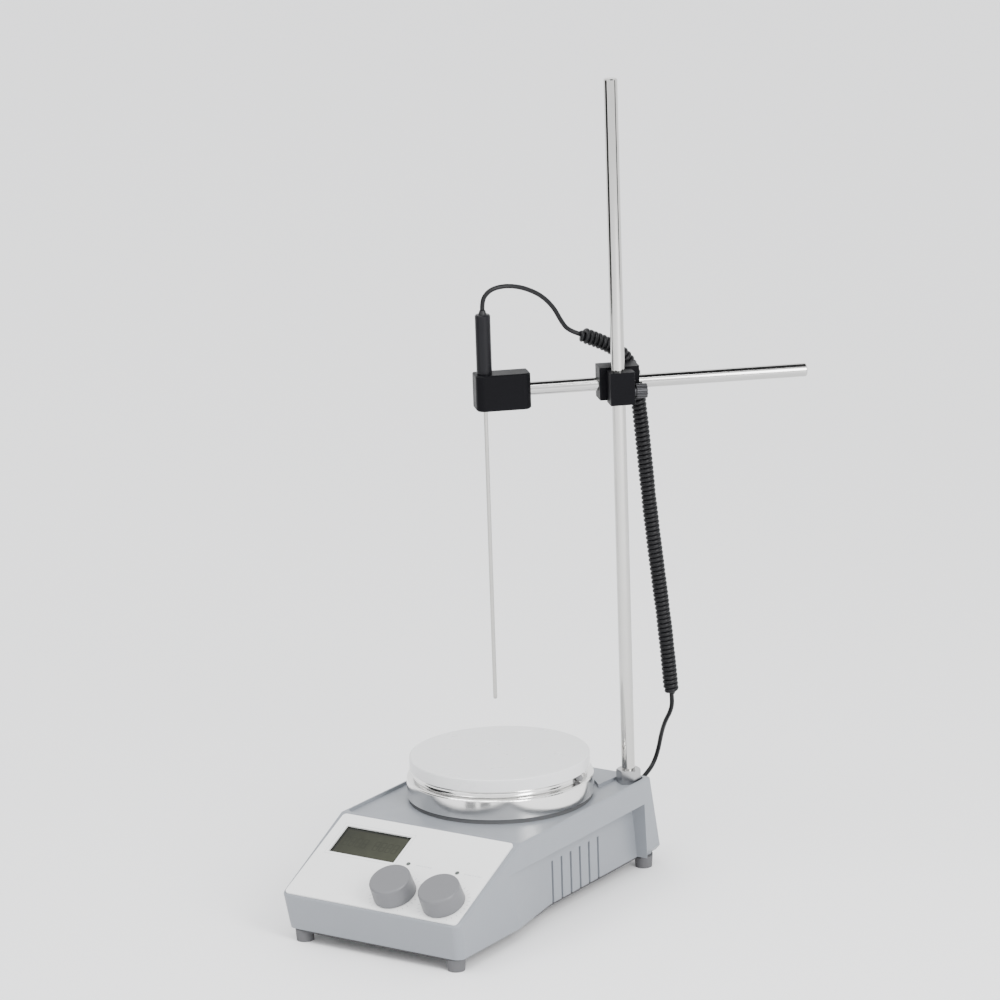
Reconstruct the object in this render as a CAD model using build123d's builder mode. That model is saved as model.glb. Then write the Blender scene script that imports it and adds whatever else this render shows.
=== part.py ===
from build123d import *

import os
from math import atan2, cos, degrees, pi, radians, sin, tan

# Hotplate magnetic stirrer with a support rod, a clamped temperature probe and its curly lead.
# Millimetres. The origin is on the bench under the stirring axis, +X is to the operator's right,
# +Y away from the operator and +Z up.

os.makedirs("parts", exist_ok=True)

# ---------------------------------------------------------------- driving dimensions

# Housing: a cast shell, open below, with a sloping control face and scooped sides
base_w = 160.0
side_draft = 4.0
wall = 3.0
foot_h = 9.0
plate_t = 1.5
front_foot_y = -171.0
front_y = -176.0
front_z = 37.0
slope_top_y = -94.0
rim_z = 76.0
deck_drop = 2.5
rim_w = 2.6
rear_top_y = 84.0
rear_y = 104.0
band_z = 56.0
recess_depth = 13.0
recess_bend_y = -40.0
recess_front_y = -118.0
recess_bend_r = 60.0
pillar_top_y = 76.5
pillar_foot_y = 83.0
pillar_chamfer = 5.5
corner_r = 6.0
edge_r = 1.8
groove_count = 6
groove_pitch = 12.6
groove_first_y = -35.0
groove_w = 2.6
groove_depth = 1.6
groove_top_z = 43.0
shelf_clear = 4.0
shelf_front_x = 52.0
shelf_rear_x = 57.0
shelf_side_y = 69.0
taper_allow = 0.5
mouth_lip = 1.0
boss_root = 1.0
vent_slot = (30.0, 3.0)
vent_pitch = (40.0, 8.0)
vent_rows = 8

# Fits
running_gap = 0.05
loose_gap = 0.2
seam_gap = 0.6

# Feet and their screws
foot_r = 7.0
foot_tip_r = 6.3
foot_inset = 13.5
foot_front_y = -163.0
foot_rear_y = 93.0
foot_boss_r = 6.0
foot_boss_h = 12.0
foot_seat = 3.0
screw_tip_gap = 1.0
m4_r = 2.0
m4_head_r = 3.6
m4_head_h = 2.6
m3_r = 1.25
m3_head_r = 2.75
m3_head_h = 2.0
m3_grip = 5.5
m3_tip_gap = 0.5

# Control face
overlay_inset = 5.0
overlay_low_s = 2.0
overlay_high_s = 88.5
overlay_t = 1.2
overlay_corner_r = 3.0
lcd_u = -36.0
lcd_s = 63.0
lcd_w = 58.0
lcd_h = 28.0
lcd_lap = 2.0
lcd_window_t = 1.5
lcd_body_w = 66.0
lcd_body_h = 36.0
board_depth = 10.6
board_t = 1.6
display_board_w = 138.0
display_board_low_s = 8.0
display_board_high_s = 80.0
display_posts = [(-63.0, 12.0), (-63.0, 38.0), (66.0, 12.0), (66.0, 72.0)]
post_r = 3.5
knob_r = 16.0
knob_h = 14.3
knob_lift = 0.5
knob_skirt_depth = 6.0
knob_wall = 3.0
knob_taper = 2.0
knob_edge_r = 1.5
knob_s = 20.3
stir_knob_u = 12.0
heat_knob_u = 54.3
shaft_r = 3.0
shaft_top_h = 12.0
shaft_foot_gap = 1.2
encoder_w = 12.0
bushing_r = 3.5
bushing_top_h = 1.0
encoder_floor = 1.0
encoder_gap = 1.0
lamp_r = 1.5
lamp_rise = 0.3
lamp_s = 50.7
lamp_us = [5.3, 47.9]

# Heated top plate and its ring
plate_r = 67.5
plate_h = 9.5
plate_z = 107.0
plate_edge_r = 1.2
ring_r = 70.0
neck_h = 4.8
ring_wall = 1.8
ring_edge_r = 1.5
ring_edge_drop = 1.0
ring_edge_in = 1.4
ring_edge_rise = 0.4
ring_under_drop = 2.0
shoulder_rise = 1.2
ring_foot_r = 62.0
neck_r = 64.3
neck_flare = 1.2
neck_arc_r = 3.4
gasket_h = 3.5
gasket_in_r = 60.0
gasket_inset = 1.0
heater_in_r = 20.0
heater_out_r = 50.0
heater_h = 4.0
insulation_h = 3.0
insulation_r = 50.0
shield_h = 1.5
shield_r = 58.0
standoff_ring_r = 54.0
standoff_r = 3.5
standoff_count = 3
plate_screw_depth = 5.5
sensor_r = 2.0
sensor_depth = 5.5
skirt_screw_deg = 5.0
skirt_screw_drop = 2.35
skirt_head_r = 2.3
skirt_head_h = 3.5
skirt_screw_len = 4.0
skirt_screw_gap = 0.1
skirt_head_edge_r = 1.2
bolt_tip_gap = 0.5

# Motor and magnet carrier
motor_r = 30.0
motor_h = 40.0
motor_wall = 2.0
motor_end = 5.0
bearing_r = 8.0
rotor_shaft_r = 4.0
rotor_core_r = 16.0
stator_in_r = 17.0
stator_end_gap = 2.0
stator_slot = (5.0, 4.0)
stator_slots = 6
stator_slot_inset = 2.0
rotor_end_gap = 3.0
rotor_foot_gap = 1.0
motor_screw_x = 18.0
bracket_hole_gap = 4.0
bracket_w = 92.0
bracket_d = 70.0
bracket_t = 2.0
bracket_post_h = 4.5
bracket_post_x = 38.0
bracket_post_y = 28.0
shaft_hole_r = 22.0
carrier_len = 72.0
carrier_w = 18.0
carrier_t = 5.0
carrier_gap = 2.5
carrier_hub_r = 7.0
carrier_hub_h = 4.0
magnet_r = 7.0
magnet_h = 6.0
magnet_x = 27.0
magnet_seat = 2.5

# Main board
main_board_w = 120.0
main_board_front_y = -152.0
main_board_rear_y = -62.0
main_board_lift = 6.0
main_post_x = 54.0
main_post_inset_y = 6.0
transformer_edge_r = 2.0
transformer = (-26.0, -84.0, 45.0, 36.0, 32.0)
relay = (43.0, -84.0, 22.0, 16.0, 14.0)
heat_sink = (30.0, -112.0, 40.0, 10.0, 22.0)
sink_fins = 8
sink_fin_pitch = 4.8
sink_fin_t = 1.8
sink_floor = 3.0
capacitor = (6.0, -84.0, 7.0, 24.0)

# Rear wall fittings
inlet_u = 34.0
inlet_v = 30.0
inlet_flange = (50.0, 24.0, 2.5)
inlet_body = (27.4, 19.8, 24.0)
inlet_recess = (24.4, 16.4, 20.0)
inlet_pin = (4.0, 2.0, 11.0)
inlet_pin_floor = 3.5
inlet_pin_pitch = 7.0
inlet_pin_row = 2.0
inlet_screw_u = 20.0
inlet_corner_r = 2.0
inlet_chamfer = 4.0
switch_u = 0.0
switch_v = 30.0
switch_flange = (17.4, 24.0, 2.0)
switch_body = (14.8, 21.0, 16.0)
switch_well = (11.6, 18.0, 13.0)
switch_corner_r = 1.5
rocker_w = 11.0
rocker_half = 8.0
rocker_tip_h = 5.2
rocker_dip_h = 3.6
rocker_side = 1.4
rocker_belly = 5.0
rocker_tilt = 10.0
rocker_axle_r = 1.2
rocker_axle_w = 13.0
rocker_axle_h = -2.0
socket_u = -44.0
socket_v = 36.0
socket_flange_r = 9.5
socket_body_r = 7.0
socket_depth = 14.0
socket_flange_t = 2.0
socket_bore = 8.0
plug_nose_r = 5.4
plug_nose_len = 7.5
plug_r = 7.5
plug_len = 22.0
plug_boot_len = 12.0
plug_boot_r = 4.2
plug_lead_run = 6.5
relief_lip = 0.5

# Support rod, clamps and probe
rod_inset = 12.0
rod_y = 72.0
rod_r = 5.0
rod_top_z = 607.0
rod_seat_gap = 1.0
rod_chamfer = 0.8
rod_socket_r = 7.5
rod_boss_r = 10.0
nut_af = 16.0
nut_h = 10.5
nut_lift = 0.1
arm_deg = 43.0
arm_z = 378.3
arm_offset = 15.0
arm_left = -90.0
arm_right = 145.5
head_front = (-7.5, 11.0, -9.0, 6.5)
head_front_low = -12.2
head_front_high = 12.2
head_rear = (-12.5, 17.5, 25.0)
head_rear_low = -11.0
head_rear_high = 13.5
head_edge_r = 1.2
holder_left = -104.6
holder_right = -63.6
holder_d = 20.0
holder_h = 27.0
holder_round = 6.0
holder_near_r = 2.0
holder_chamfer = 1.0
holder_end_gap = 0.3
probe_t = -97.1
probe_r = 5.75
probe_top_h = 58.0
probe_foot_h = -14.0
probe_relief_h = 3.0
probe_relief_lip = 1.4
probe_chamfer = 0.8
stem_r = 1.5
stem_seat = 6.0
stem_tip_z = 142.5
stem_tip_r = 1.2
clamp_screw_r = 2.45
clamp_head_r = 5.4
clamp_head_h = 8.0
clamp_neck_r = 3.6
clamp_neck_h = 2.0
clamp_tip_gap = 0.1
clamp_flutes = 12
flute_r = 0.8
head_screw_drop = 4.0
holder_screw_t = -76.0

# Probe lead
cable_r = 1.75
coil_r = 6.0

# ---------------------------------------------------------------- derived sizes

base_foot_w = base_w - 2 * side_draft
recess_x = base_w / 2 - recess_depth
foot_x = base_w / 2 - foot_inset
overlay_w = base_w - 2 * overlay_inset
rod_x = base_w / 2 - rod_inset
under_z = foot_h + plate_t
deck_z = rim_z - deck_drop
slope_deg = degrees(atan2(rim_z - front_z, slope_top_y - front_y))
rear_deg = degrees(atan2(rear_y - rear_top_y, rim_z - under_z))
deck_under_z = deck_z - wall
gasket_top_z = deck_z + gasket_h
plate_under_z = plate_z - plate_h
shoulder_z = plate_under_z - neck_h
ring_top_z = shoulder_z - shoulder_rise
skirt_screw_z = plate_under_z - skirt_screw_drop
heater_z = plate_under_z - heater_h
insulation_z = heater_z - insulation_h
shield_z = insulation_z - shield_h
bracket_z = deck_under_z - bracket_post_h
motor_top_z = bracket_z - bracket_t
carrier_z = deck_z + carrier_gap
magnet_z = carrier_z + carrier_t - magnet_seat
main_board_z = under_z + main_board_lift
display_board_mid_s = (display_board_low_s + display_board_high_s) / 2
knob_foot_h = overlay_t + knob_lift

panel = Plane(
    origin=(0, front_y, front_z),
    x_dir=(1, 0, 0),
    z_dir=(0, -sin(radians(slope_deg)), cos(radians(slope_deg))),
)
rear = Plane(
    origin=(0, rear_y, under_z),
    x_dir=(-1, 0, 0),
    z_dir=(0, cos(radians(rear_deg)), sin(radians(rear_deg))),
)
arm = Plane(
    origin=(rod_x, rod_y, arm_z),
    x_dir=(cos(radians(arm_deg)), sin(radians(arm_deg)), 0),
    z_dir=(0, 0, 1),
)


# ---------------------------------------------------------------- helpers


def save(piece, name):
    """Label a finished piece and write it as one STEP file."""
    piece.part.label = name
    export_step(piece.part, f"parts/{name}.step")


def side_outline(top_z):
    """Corner points (y, z) of the housing seen from its side, with the deck at top_z."""
    slope_y = front_y + (top_z - front_z) / tan(radians(slope_deg))
    back_y = rear_y - (top_z - under_z) * tan(radians(rear_deg))
    return [(front_foot_y, under_z), (front_y, front_z), (slope_y, top_z), (back_y, top_z), (rear_y, under_z)]


def scoop_outline(inset):
    """Plan points (x, y) of the scoop in the right side, moved inwards by inset."""
    run_x = base_w / 2 - recess_x
    run_y = recess_bend_y - recess_front_y
    reach = 2 * run_x
    return [
        (recess_x - inset, recess_bend_y),
        (recess_x - inset, rear_y + wall),
        (recess_x - inset + reach, rear_y + wall),
        (recess_x - inset + reach, recess_bend_y - reach * run_y / run_x),
    ]


def route_radii(points):
    """Largest smooth arc at each corner of a cord's route: 0.45 of the shorter run over tan(turn / 2)."""
    stops = [Vector(*point) for point in points]
    radii = []
    for before, here, after in zip(stops, stops[1:], stops[2:]):
        run_in = here - before
        run_out = after - here
        half_turn = radians(run_in.get_angle(run_out)) / 2
        radii.append(0.45 * min(run_in.length, run_out.length) / tan(half_turn))
    return radii


def report_tube(name, piece, route, radius, radii):
    """Print a cord tube's bend radii, its length, and its volume against section times length."""
    length = sum(edge.length for edge in route.line.edges())
    ratio = piece.part.volume / (pi * radius**2 * length)
    print(name, "length", round(length, 1), "volume over section times length", round(ratio, 4))
    print("  radii", [round(value, 1) for value in radii])


def solid_box(spec, floor_z):
    """Box from (x, y, width, depth, height) standing on floor_z."""
    x, y, width, depth, height = spec
    with Locations((x, y, floor_z)):
        Box(width, depth, height, align=(Align.CENTER, Align.CENTER, Align.MIN))


def post(x, y, low, radius, height, mode=Mode.ADD):
    """Upright cylinder standing at (x, y, low)."""
    with Locations((x, y, low)):
        Cylinder(radius, height, align=(Align.CENTER, Align.CENTER, Align.MIN), mode=mode)


foot_spots = {
    "foot_front_left": (-foot_x, foot_front_y),
    "foot_front_right": (foot_x, foot_front_y),
    "foot_rear_left": (-foot_x, foot_rear_y),
    "foot_rear_right": (foot_x, foot_rear_y),
}
main_post_spots = [
    (x, y)
    for x in (-main_post_x, main_post_x)
    for y in (main_board_front_y + main_post_inset_y, main_board_rear_y - main_post_inset_y)
]
bracket_spots = [(x, y) for x in (-bracket_post_x, bracket_post_x) for y in (-bracket_post_y, bracket_post_y)]
standoff_spots = [
    (standoff_ring_r * cos(2 * pi * k / standoff_count), standoff_ring_r * sin(2 * pi * k / standoff_count))
    for k in range(standoff_count)
]

# ---------------------------------------------------------------- housing

with BuildPart() as side_recess:
    with BuildSketch(Plane.XY.offset(foot_h)) as scoop_plan:
        with BuildLine():
            Polyline(*scoop_outline(0), close=True)
        make_face()
        fillet(scoop_plan.vertices().sort_by_distance((recess_x, recess_bend_y, foot_h))[0], recess_bend_r)
    extrude(amount=band_z - foot_h)
    with BuildSketch(Plane.YZ):
        pillar_run = (pillar_foot_y - pillar_top_y) / (band_z - under_z)
        with BuildLine():
            Polyline(
                (2 * front_y, foot_h),
                (pillar_foot_y + pillar_run * plate_t, foot_h),
                (pillar_top_y, band_z),
                (2 * front_y, band_z),
                close=True,
            )
        make_face()
    extrude(amount=base_w, mode=Mode.INTERSECT)

with BuildPart() as shell_cavity:
    # Under the band the cavity narrows, to leave one wall inside the scoops
    with BuildSketch(Plane.XY.offset(foot_h)) as cavity_plan:
        with Locations((0, (front_y + rear_y) / 2)):
            Rectangle(base_foot_w - 2 * wall, rear_y - front_y)
        for mirrored in (False, True):
            with BuildSketch(Plane.XY.offset(foot_h), mode=Mode.PRIVATE) as scoop_cut:
                with BuildLine():
                    Polyline(*scoop_outline(wall), close=True)
                make_face()
            scoop_face = scoop_cut.face().mirror(Plane.YZ) if mirrored else scoop_cut.face()
            add(scoop_face, mode=Mode.SUBTRACT)
    extrude(amount=band_z + wall - foot_h)
    with BuildSketch(Plane.XY.offset(band_z + wall)):
        with Locations((0, (front_y + rear_y) / 2)):
            Rectangle(base_w - 2 * (wall + taper_allow), rear_y - front_y)
    extrude(amount=rim_z - band_z)
    with BuildSketch(Plane.YZ):
        with BuildLine():
            Polyline(*side_outline(deck_z), close=True)
        make_face()
        offset(amount=-wall, kind=Kind.INTERSECTION)
    extrude(amount=base_w, both=True, mode=Mode.INTERSECT)

with BuildPart() as mouth:
    with BuildSketch(Plane.XY.offset(foot_h)):
        add(cavity_plan.sketch)
        with Locations((0, (front_foot_y + rear_y) / 2)):
            Rectangle(base_w, rear_y - front_foot_y - 2 * (wall + mouth_lip), mode=Mode.INTERSECT)
    extrude(amount=plate_t + wall + mouth_lip)

with BuildPart() as top_housing:
    with BuildSketch(Plane.YZ):
        with BuildLine():
            Polyline(*side_outline(rim_z), close=True)
        make_face()
    extrude(amount=base_w, both=True)
    with BuildSketch(Plane.XZ):
        with BuildLine():
            Polyline(
                (-base_foot_w / 2, under_z),
                (base_foot_w / 2, under_z),
                (base_w / 2, rim_z),
                (-base_w / 2, rim_z),
                close=True,
            )
        make_face()
    extrude(amount=2 * base_w, both=True, mode=Mode.INTERSECT)
    front_corners = top_housing.edges().filter_by(
        lambda e: abs(e.center().X) > base_foot_w / 2 and e.center().Y < front_foot_y
    )
    fillet(front_corners, corner_r)
    rear_corners = top_housing.edges().filter_by(
        lambda e: abs(e.center().X) > base_foot_w / 2 and e.center().Y > rear_top_y
    )
    fillet(rear_corners, edge_r)
    upper_rim = top_housing.edges().filter_by(
        lambda e: e.bounding_box().min.Z > front_z - 1
        and e.bounding_box().max.X - e.bounding_box().min.X < base_w / 2
        and abs(e.center().X) > base_foot_w / 2 - corner_r
    )
    fillet(upper_rim, edge_r)
    add(side_recess.part, mode=Mode.SUBTRACT)
    add(side_recess.part.mirror(Plane.YZ), mode=Mode.SUBTRACT)
    # Vertical grooves on the scooped walls
    with GridLocations(2 * recess_x, groove_pitch, 2, groove_count):
        with Locations((0, groove_first_y + (groove_count - 1) / 2 * groove_pitch, 0)):
            Box(
                2 * groove_depth,
                groove_w,
                groove_top_z,
                align=(Align.CENTER, Align.CENTER, Align.MIN),
                mode=Mode.SUBTRACT,
            )
    # Bottom of each rear pillar is cut back at an angle
    for side in (-1, 1):
        with BuildSketch(Plane.XZ.offset(-pillar_foot_y)):
            with BuildLine():
                Polyline(
                    (side * (base_foot_w / 2 + 1), under_z - 1),
                    (side * (base_foot_w / 2 - pillar_chamfer), under_z - 1),
                    (side * (base_foot_w / 2 - pillar_chamfer), under_z),
                    (side * (base_foot_w / 2 + 1), under_z + pillar_chamfer + 1),
                    close=True,
                )
            make_face()
        extrude(amount=-2 * (rear_y - pillar_foot_y), mode=Mode.SUBTRACT)
    # Deck tray: sunk below the rim, with a shelf at rim height behind the heated plate
    with BuildSketch(Plane.XY.offset(deck_z)):
        tray_front_y = slope_top_y + rim_w
        tray_rear_y = rear_top_y - rim_w
        with Locations((0, (tray_front_y + tray_rear_y) / 2)):
            RectangleRounded(base_w - 2 * rim_w, tray_rear_y - tray_front_y, corner_r)
        with BuildLine():
            Polyline(
                (-shelf_rear_x, rear_y),
                (-shelf_rear_x, shelf_side_y),
                (-shelf_front_x, 0),
                (shelf_front_x, 0),
                (shelf_rear_x, shelf_side_y),
                (shelf_rear_x, rear_y),
                close=True,
            )
        make_face(mode=Mode.SUBTRACT)
        Circle(ring_r + shelf_clear)
    extrude(amount=2 * deck_drop, mode=Mode.SUBTRACT)
    # Hollow inside
    add(shell_cavity.part, mode=Mode.SUBTRACT)
    add(mouth.part, mode=Mode.SUBTRACT)
    # Block under the support rod
    post(rod_x, rod_y, band_z, rod_boss_r, deck_under_z - band_z)
    post(rod_x, rod_y, band_z, rod_socket_r, rim_z - band_z, mode=Mode.SUBTRACT)
    # Bosses for the feet
    for x, y in foot_spots.values():
        post(x, y, under_z, foot_boss_r, foot_boss_h)
        post(x, y, under_z, m4_r, foot_boss_h - screw_tip_gap, mode=Mode.SUBTRACT)
    # Posts that carry the motor bracket
    for x, y in bracket_spots:
        post(x, y, bracket_z, post_r, bracket_post_h + boss_root)
        post(x, y, bracket_z, m3_r, m3_grip, mode=Mode.SUBTRACT)
    # Shaft hole and plate screws through the deck
    post(0, 0, bracket_z, shaft_hole_r, rim_z - bracket_z, mode=Mode.SUBTRACT)
    for x, y in standoff_spots:
        post(x, y, bracket_z, m4_r + loose_gap, rim_z - bracket_z, mode=Mode.SUBTRACT)
    # Openings in the control face
    with BuildSketch(panel.offset(-2 * wall)):
        with Locations((lcd_u, lcd_s)):
            Rectangle(lcd_w + 2 * (lcd_lap + loose_gap), lcd_h + 2 * (lcd_lap + loose_gap))
        with Locations((stir_knob_u, knob_s), (heat_knob_u, knob_s)):
            Circle(bushing_r + loose_gap)
        with Locations(*[(u, lamp_s) for u in lamp_us]):
            Circle(lamp_r + loose_gap)
    extrude(amount=3 * wall, mode=Mode.SUBTRACT)
    # Posts for the display board
    with BuildSketch(panel.offset(-board_depth)):
        with Locations(*display_posts):
            Circle(post_r)
    extrude(amount=board_depth - wall / 2)
    with BuildSketch(panel.offset(-board_depth)):
        with Locations(*display_posts):
            Circle(m3_r)
    extrude(amount=m3_grip, mode=Mode.SUBTRACT)
    # Openings in the rear wall
    with BuildSketch(rear.offset(-2 * wall)):
        with Locations((inlet_u, inlet_v)):
            Rectangle(inlet_body[0] + 2 * loose_gap, inlet_body[1] + 2 * loose_gap)
        with Locations((inlet_u - inlet_screw_u, inlet_v), (inlet_u + inlet_screw_u, inlet_v)):
            Circle(m3_r)
        with Locations((switch_u, switch_v)):
            Rectangle(switch_body[0] + 2 * loose_gap, switch_body[1] + 2 * loose_gap)
        with Locations((socket_u, socket_v)):
            Circle(socket_body_r + loose_gap)
    extrude(amount=3 * wall, mode=Mode.SUBTRACT)

save(top_housing, "top_housing")

with BuildPart() as base_plate:
    with BuildSketch(Plane.XY.offset(foot_h)):
        plate_depth = rear_y - front_foot_y - 2 * seam_gap
        with Locations((0, (rear_y + front_foot_y) / 2)):
            RectangleRounded(base_foot_w - 2 * (pillar_chamfer + seam_gap), plate_depth, corner_r)
        # The strip under the scoops is narrower
        strip_rear_y = pillar_foot_y + seam_gap
        for mirrored in (False, True):
            with BuildSketch(Plane.XY.offset(foot_h), mode=Mode.PRIVATE) as strip_cut:
                with BuildLine():
                    Polyline(*scoop_outline(seam_gap), close=True)
                make_face()
                with Locations((0, strip_rear_y - base_w)):
                    Rectangle(4 * base_w, 2 * base_w, mode=Mode.INTERSECT)
            strip_face = strip_cut.face().mirror(Plane.YZ) if mirrored else strip_cut.face()
            add(strip_face, mode=Mode.SUBTRACT)
        with Locations(*foot_spots.values()):
            Circle(foot_r)
    extrude(amount=plate_t)
    # Cooling slots under the motor
    with BuildSketch(Plane.XY.offset(foot_h)):
        with GridLocations(vent_pitch[0], vent_pitch[1], 2, vent_rows):
            SlotOverall(vent_slot[0], vent_slot[1])
    extrude(amount=plate_t, mode=Mode.SUBTRACT)
    for x, y in foot_spots.values():
        post(x, y, foot_h, m4_r + loose_gap, plate_t, mode=Mode.SUBTRACT)
    for x, y in main_post_spots:
        post(x, y, under_z, post_r, main_board_lift)
        post(x, y, main_board_z - m3_grip, m3_r, m3_grip, mode=Mode.SUBTRACT)

save(base_plate, "base_plate")

for foot_name, (x, y) in foot_spots.items():
    with BuildPart() as foot:
        with BuildSketch(Plane.XY):
            with Locations((x, y)):
                Circle(foot_tip_r)
        with BuildSketch(Plane.XY.offset(foot_h)):
            with Locations((x, y)):
                Circle(foot_r)
        loft()
        post(x, y, 0, m4_r + loose_gap, foot_h, mode=Mode.SUBTRACT)
        post(x, y, 0, m4_head_r + loose_gap, foot_h - foot_seat, mode=Mode.SUBTRACT)
    save(foot, foot_name)

with BuildPart() as foot_screws:
    for x, y in foot_spots.values():
        post(x, y, foot_h - foot_seat - m4_head_h, m4_head_r, m4_head_h)
        post(x, y, foot_h - foot_seat, m4_r, foot_seat + plate_t + foot_boss_h - 2 * screw_tip_gap)

save(foot_screws, "foot_screws")

# ---------------------------------------------------------------- control face

with BuildPart() as panel_overlay:
    with BuildSketch(panel) as overlay_face:
        with Locations((0, (overlay_low_s + overlay_high_s) / 2)):
            Rectangle(overlay_w, overlay_high_s - overlay_low_s)
        fillet(overlay_face.vertices(), overlay_corner_r)
        with Locations((lcd_u, lcd_s)):
            Rectangle(lcd_w, lcd_h, mode=Mode.SUBTRACT)
        with Locations((stir_knob_u, knob_s), (heat_knob_u, knob_s)):
            Circle(bushing_r + 2 * loose_gap, mode=Mode.SUBTRACT)
        with Locations(*[(u, lamp_s) for u in lamp_us]):
            Circle(lamp_r + loose_gap, mode=Mode.SUBTRACT)
    extrude(amount=overlay_t)

save(panel_overlay, "panel_overlay")

with BuildPart() as lcd_window:
    with BuildSketch(panel.offset(-lcd_window_t)):
        with Locations((lcd_u, lcd_s)):
            Rectangle(lcd_w + 2 * lcd_lap, lcd_h + 2 * lcd_lap)
    extrude(amount=lcd_window_t)

save(lcd_window, "lcd_window")

with BuildPart() as lcd_module:
    lcd_glass_top = lcd_window_t + loose_gap
    lcd_body_top = wall + 2 * loose_gap
    with BuildSketch(panel.offset(-board_depth)):
        with Locations((lcd_u, lcd_s)):
            Rectangle(lcd_body_w, lcd_body_h)
    extrude(amount=board_depth - lcd_body_top)
    with BuildSketch(panel.offset(-lcd_body_top)):
        with Locations((lcd_u, lcd_s)):
            Rectangle(lcd_w + lcd_lap, lcd_h + lcd_lap)
    extrude(amount=lcd_body_top - lcd_glass_top)

save(lcd_module, "lcd_module")

with BuildPart() as display_board:
    with BuildSketch(panel.offset(-board_depth - board_t)):
        with Locations((0, display_board_mid_s)):
            Rectangle(display_board_w, display_board_high_s - display_board_low_s)
        with Locations(*display_posts):
            Circle(m3_r + loose_gap, mode=Mode.SUBTRACT)
    extrude(amount=board_t)

save(display_board, "display_board")

with BuildPart() as encoders:
    for u in (stir_knob_u, heat_knob_u):
        with BuildSketch(panel.offset(-board_depth)):
            with Locations((u, knob_s)):
                Rectangle(encoder_w, encoder_w)
        extrude(amount=board_depth - wall - encoder_gap)
        with BuildSketch(panel.offset(-wall - encoder_gap)):
            with Locations((u, knob_s)):
                Circle(bushing_r)
        extrude(amount=bushing_top_h + wall + encoder_gap)
        with BuildSketch(panel.offset(encoder_floor - board_depth)):
            with Locations((u, knob_s)):
                Circle(shaft_r + running_gap)
        extrude(amount=board_depth - encoder_floor + bushing_top_h, mode=Mode.SUBTRACT)

save(encoders, "encoders")

with BuildPart() as indicator_lamps:
    with BuildSketch(panel.offset(-board_depth)):
        with Locations(*[(u, lamp_s) for u in lamp_us]):
            Circle(lamp_r)
    extrude(amount=board_depth + overlay_t + lamp_rise)

save(indicator_lamps, "indicator_lamps")

for control, u in (("stir", stir_knob_u), ("heat", heat_knob_u)):
    with BuildPart() as control_shaft:
        with BuildSketch(panel.offset(shaft_foot_gap - board_depth)):
            with Locations((u, knob_s)):
                Circle(shaft_r)
        extrude(amount=board_depth - shaft_foot_gap + shaft_top_h)
    save(control_shaft, f"{control}_shaft")
    with BuildPart() as control_knob:
        with BuildSketch(panel.offset(knob_foot_h)):
            with Locations((u, knob_s)):
                Circle(knob_r)
        extrude(amount=knob_h, taper=knob_taper)
        fillet(control_knob.edges().sort_by(Axis(panel.origin, panel.z_dir))[-1], knob_edge_r)
        with BuildSketch(panel.offset(knob_foot_h)):
            with Locations((u, knob_s)):
                Circle(knob_r - knob_wall)
                Circle(shaft_r + knob_wall, mode=Mode.SUBTRACT)
        extrude(amount=knob_skirt_depth, mode=Mode.SUBTRACT)
        with BuildSketch(panel.offset(knob_foot_h)):
            with Locations((u, knob_s)):
                Circle(shaft_r)
        extrude(amount=shaft_top_h - knob_foot_h, mode=Mode.SUBTRACT)
    save(control_knob, f"{control}_knob")

# ---------------------------------------------------------------- heated plate

with BuildPart() as top_plate:
    post(0, 0, plate_under_z, plate_r, plate_h)
    fillet(top_plate.edges().group_by(Axis.Z)[-1], plate_edge_r)
    for x, y in standoff_spots:
        post(x, y, plate_under_z, m4_r, plate_screw_depth + bolt_tip_gap, mode=Mode.SUBTRACT)
    post(0, 0, plate_under_z, sensor_r + loose_gap, sensor_depth + bolt_tip_gap, mode=Mode.SUBTRACT)

save(top_plate, "top_plate")

with BuildPart() as plate_skirt:
    with BuildSketch(Plane.XZ):
        with BuildLine():
            edge_low = (ring_r, ring_top_z - ring_edge_drop)
            edge_high = (ring_r - ring_edge_in, ring_top_z + ring_edge_rise)
            neck_low = (neck_r + neck_flare, shoulder_z)
            neck_high = (neck_r + neck_flare, plate_under_z)
            Polyline((ring_foot_r, gasket_top_z), (ring_r, gasket_top_z), edge_low)
            RadiusArc(edge_low, edge_high, -ring_edge_r)
            Line(edge_high, neck_low)
            RadiusArc(neck_low, neck_high, neck_arc_r)
            Polyline(
                neck_high,
                (neck_r - ring_wall, plate_under_z),
                (neck_r - ring_wall, shoulder_z - ring_wall),
                (ring_r - ring_wall, ring_top_z - ring_under_drop),
                (ring_r - ring_wall, gasket_top_z + ring_wall),
                (ring_foot_r, gasket_top_z + ring_wall),
                (ring_foot_r, gasket_top_z),
            )
        make_face()
    revolve(axis=Axis.Z)
    with Locations(Plane.XY.offset(skirt_screw_z).rotated((0, 0, skirt_screw_deg))):
        with Locations(Location((neck_r, 0, 0), (0, 90, 0))):
            Cylinder(m3_r, 4 * ring_wall, mode=Mode.SUBTRACT)

save(plate_skirt, "plate_skirt")

with BuildPart() as skirt_screw:
    with Locations(Plane.XY.offset(skirt_screw_z).rotated((0, 0, skirt_screw_deg))):
        with Locations(Location((neck_r + neck_flare + skirt_screw_gap, 0, 0), (0, 90, 0))):
            Cylinder(skirt_head_r, skirt_head_h, align=(Align.CENTER, Align.CENTER, Align.MIN))
            Cylinder(m3_r, skirt_screw_len, align=(Align.CENTER, Align.CENTER, Align.MAX))
    head_tip = (neck_r + neck_flare + skirt_head_h, 0, skirt_screw_z)
    fillet(skirt_screw.edges().sort_by_distance(head_tip)[0], skirt_head_edge_r)

save(skirt_screw, "skirt_screw")

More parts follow.
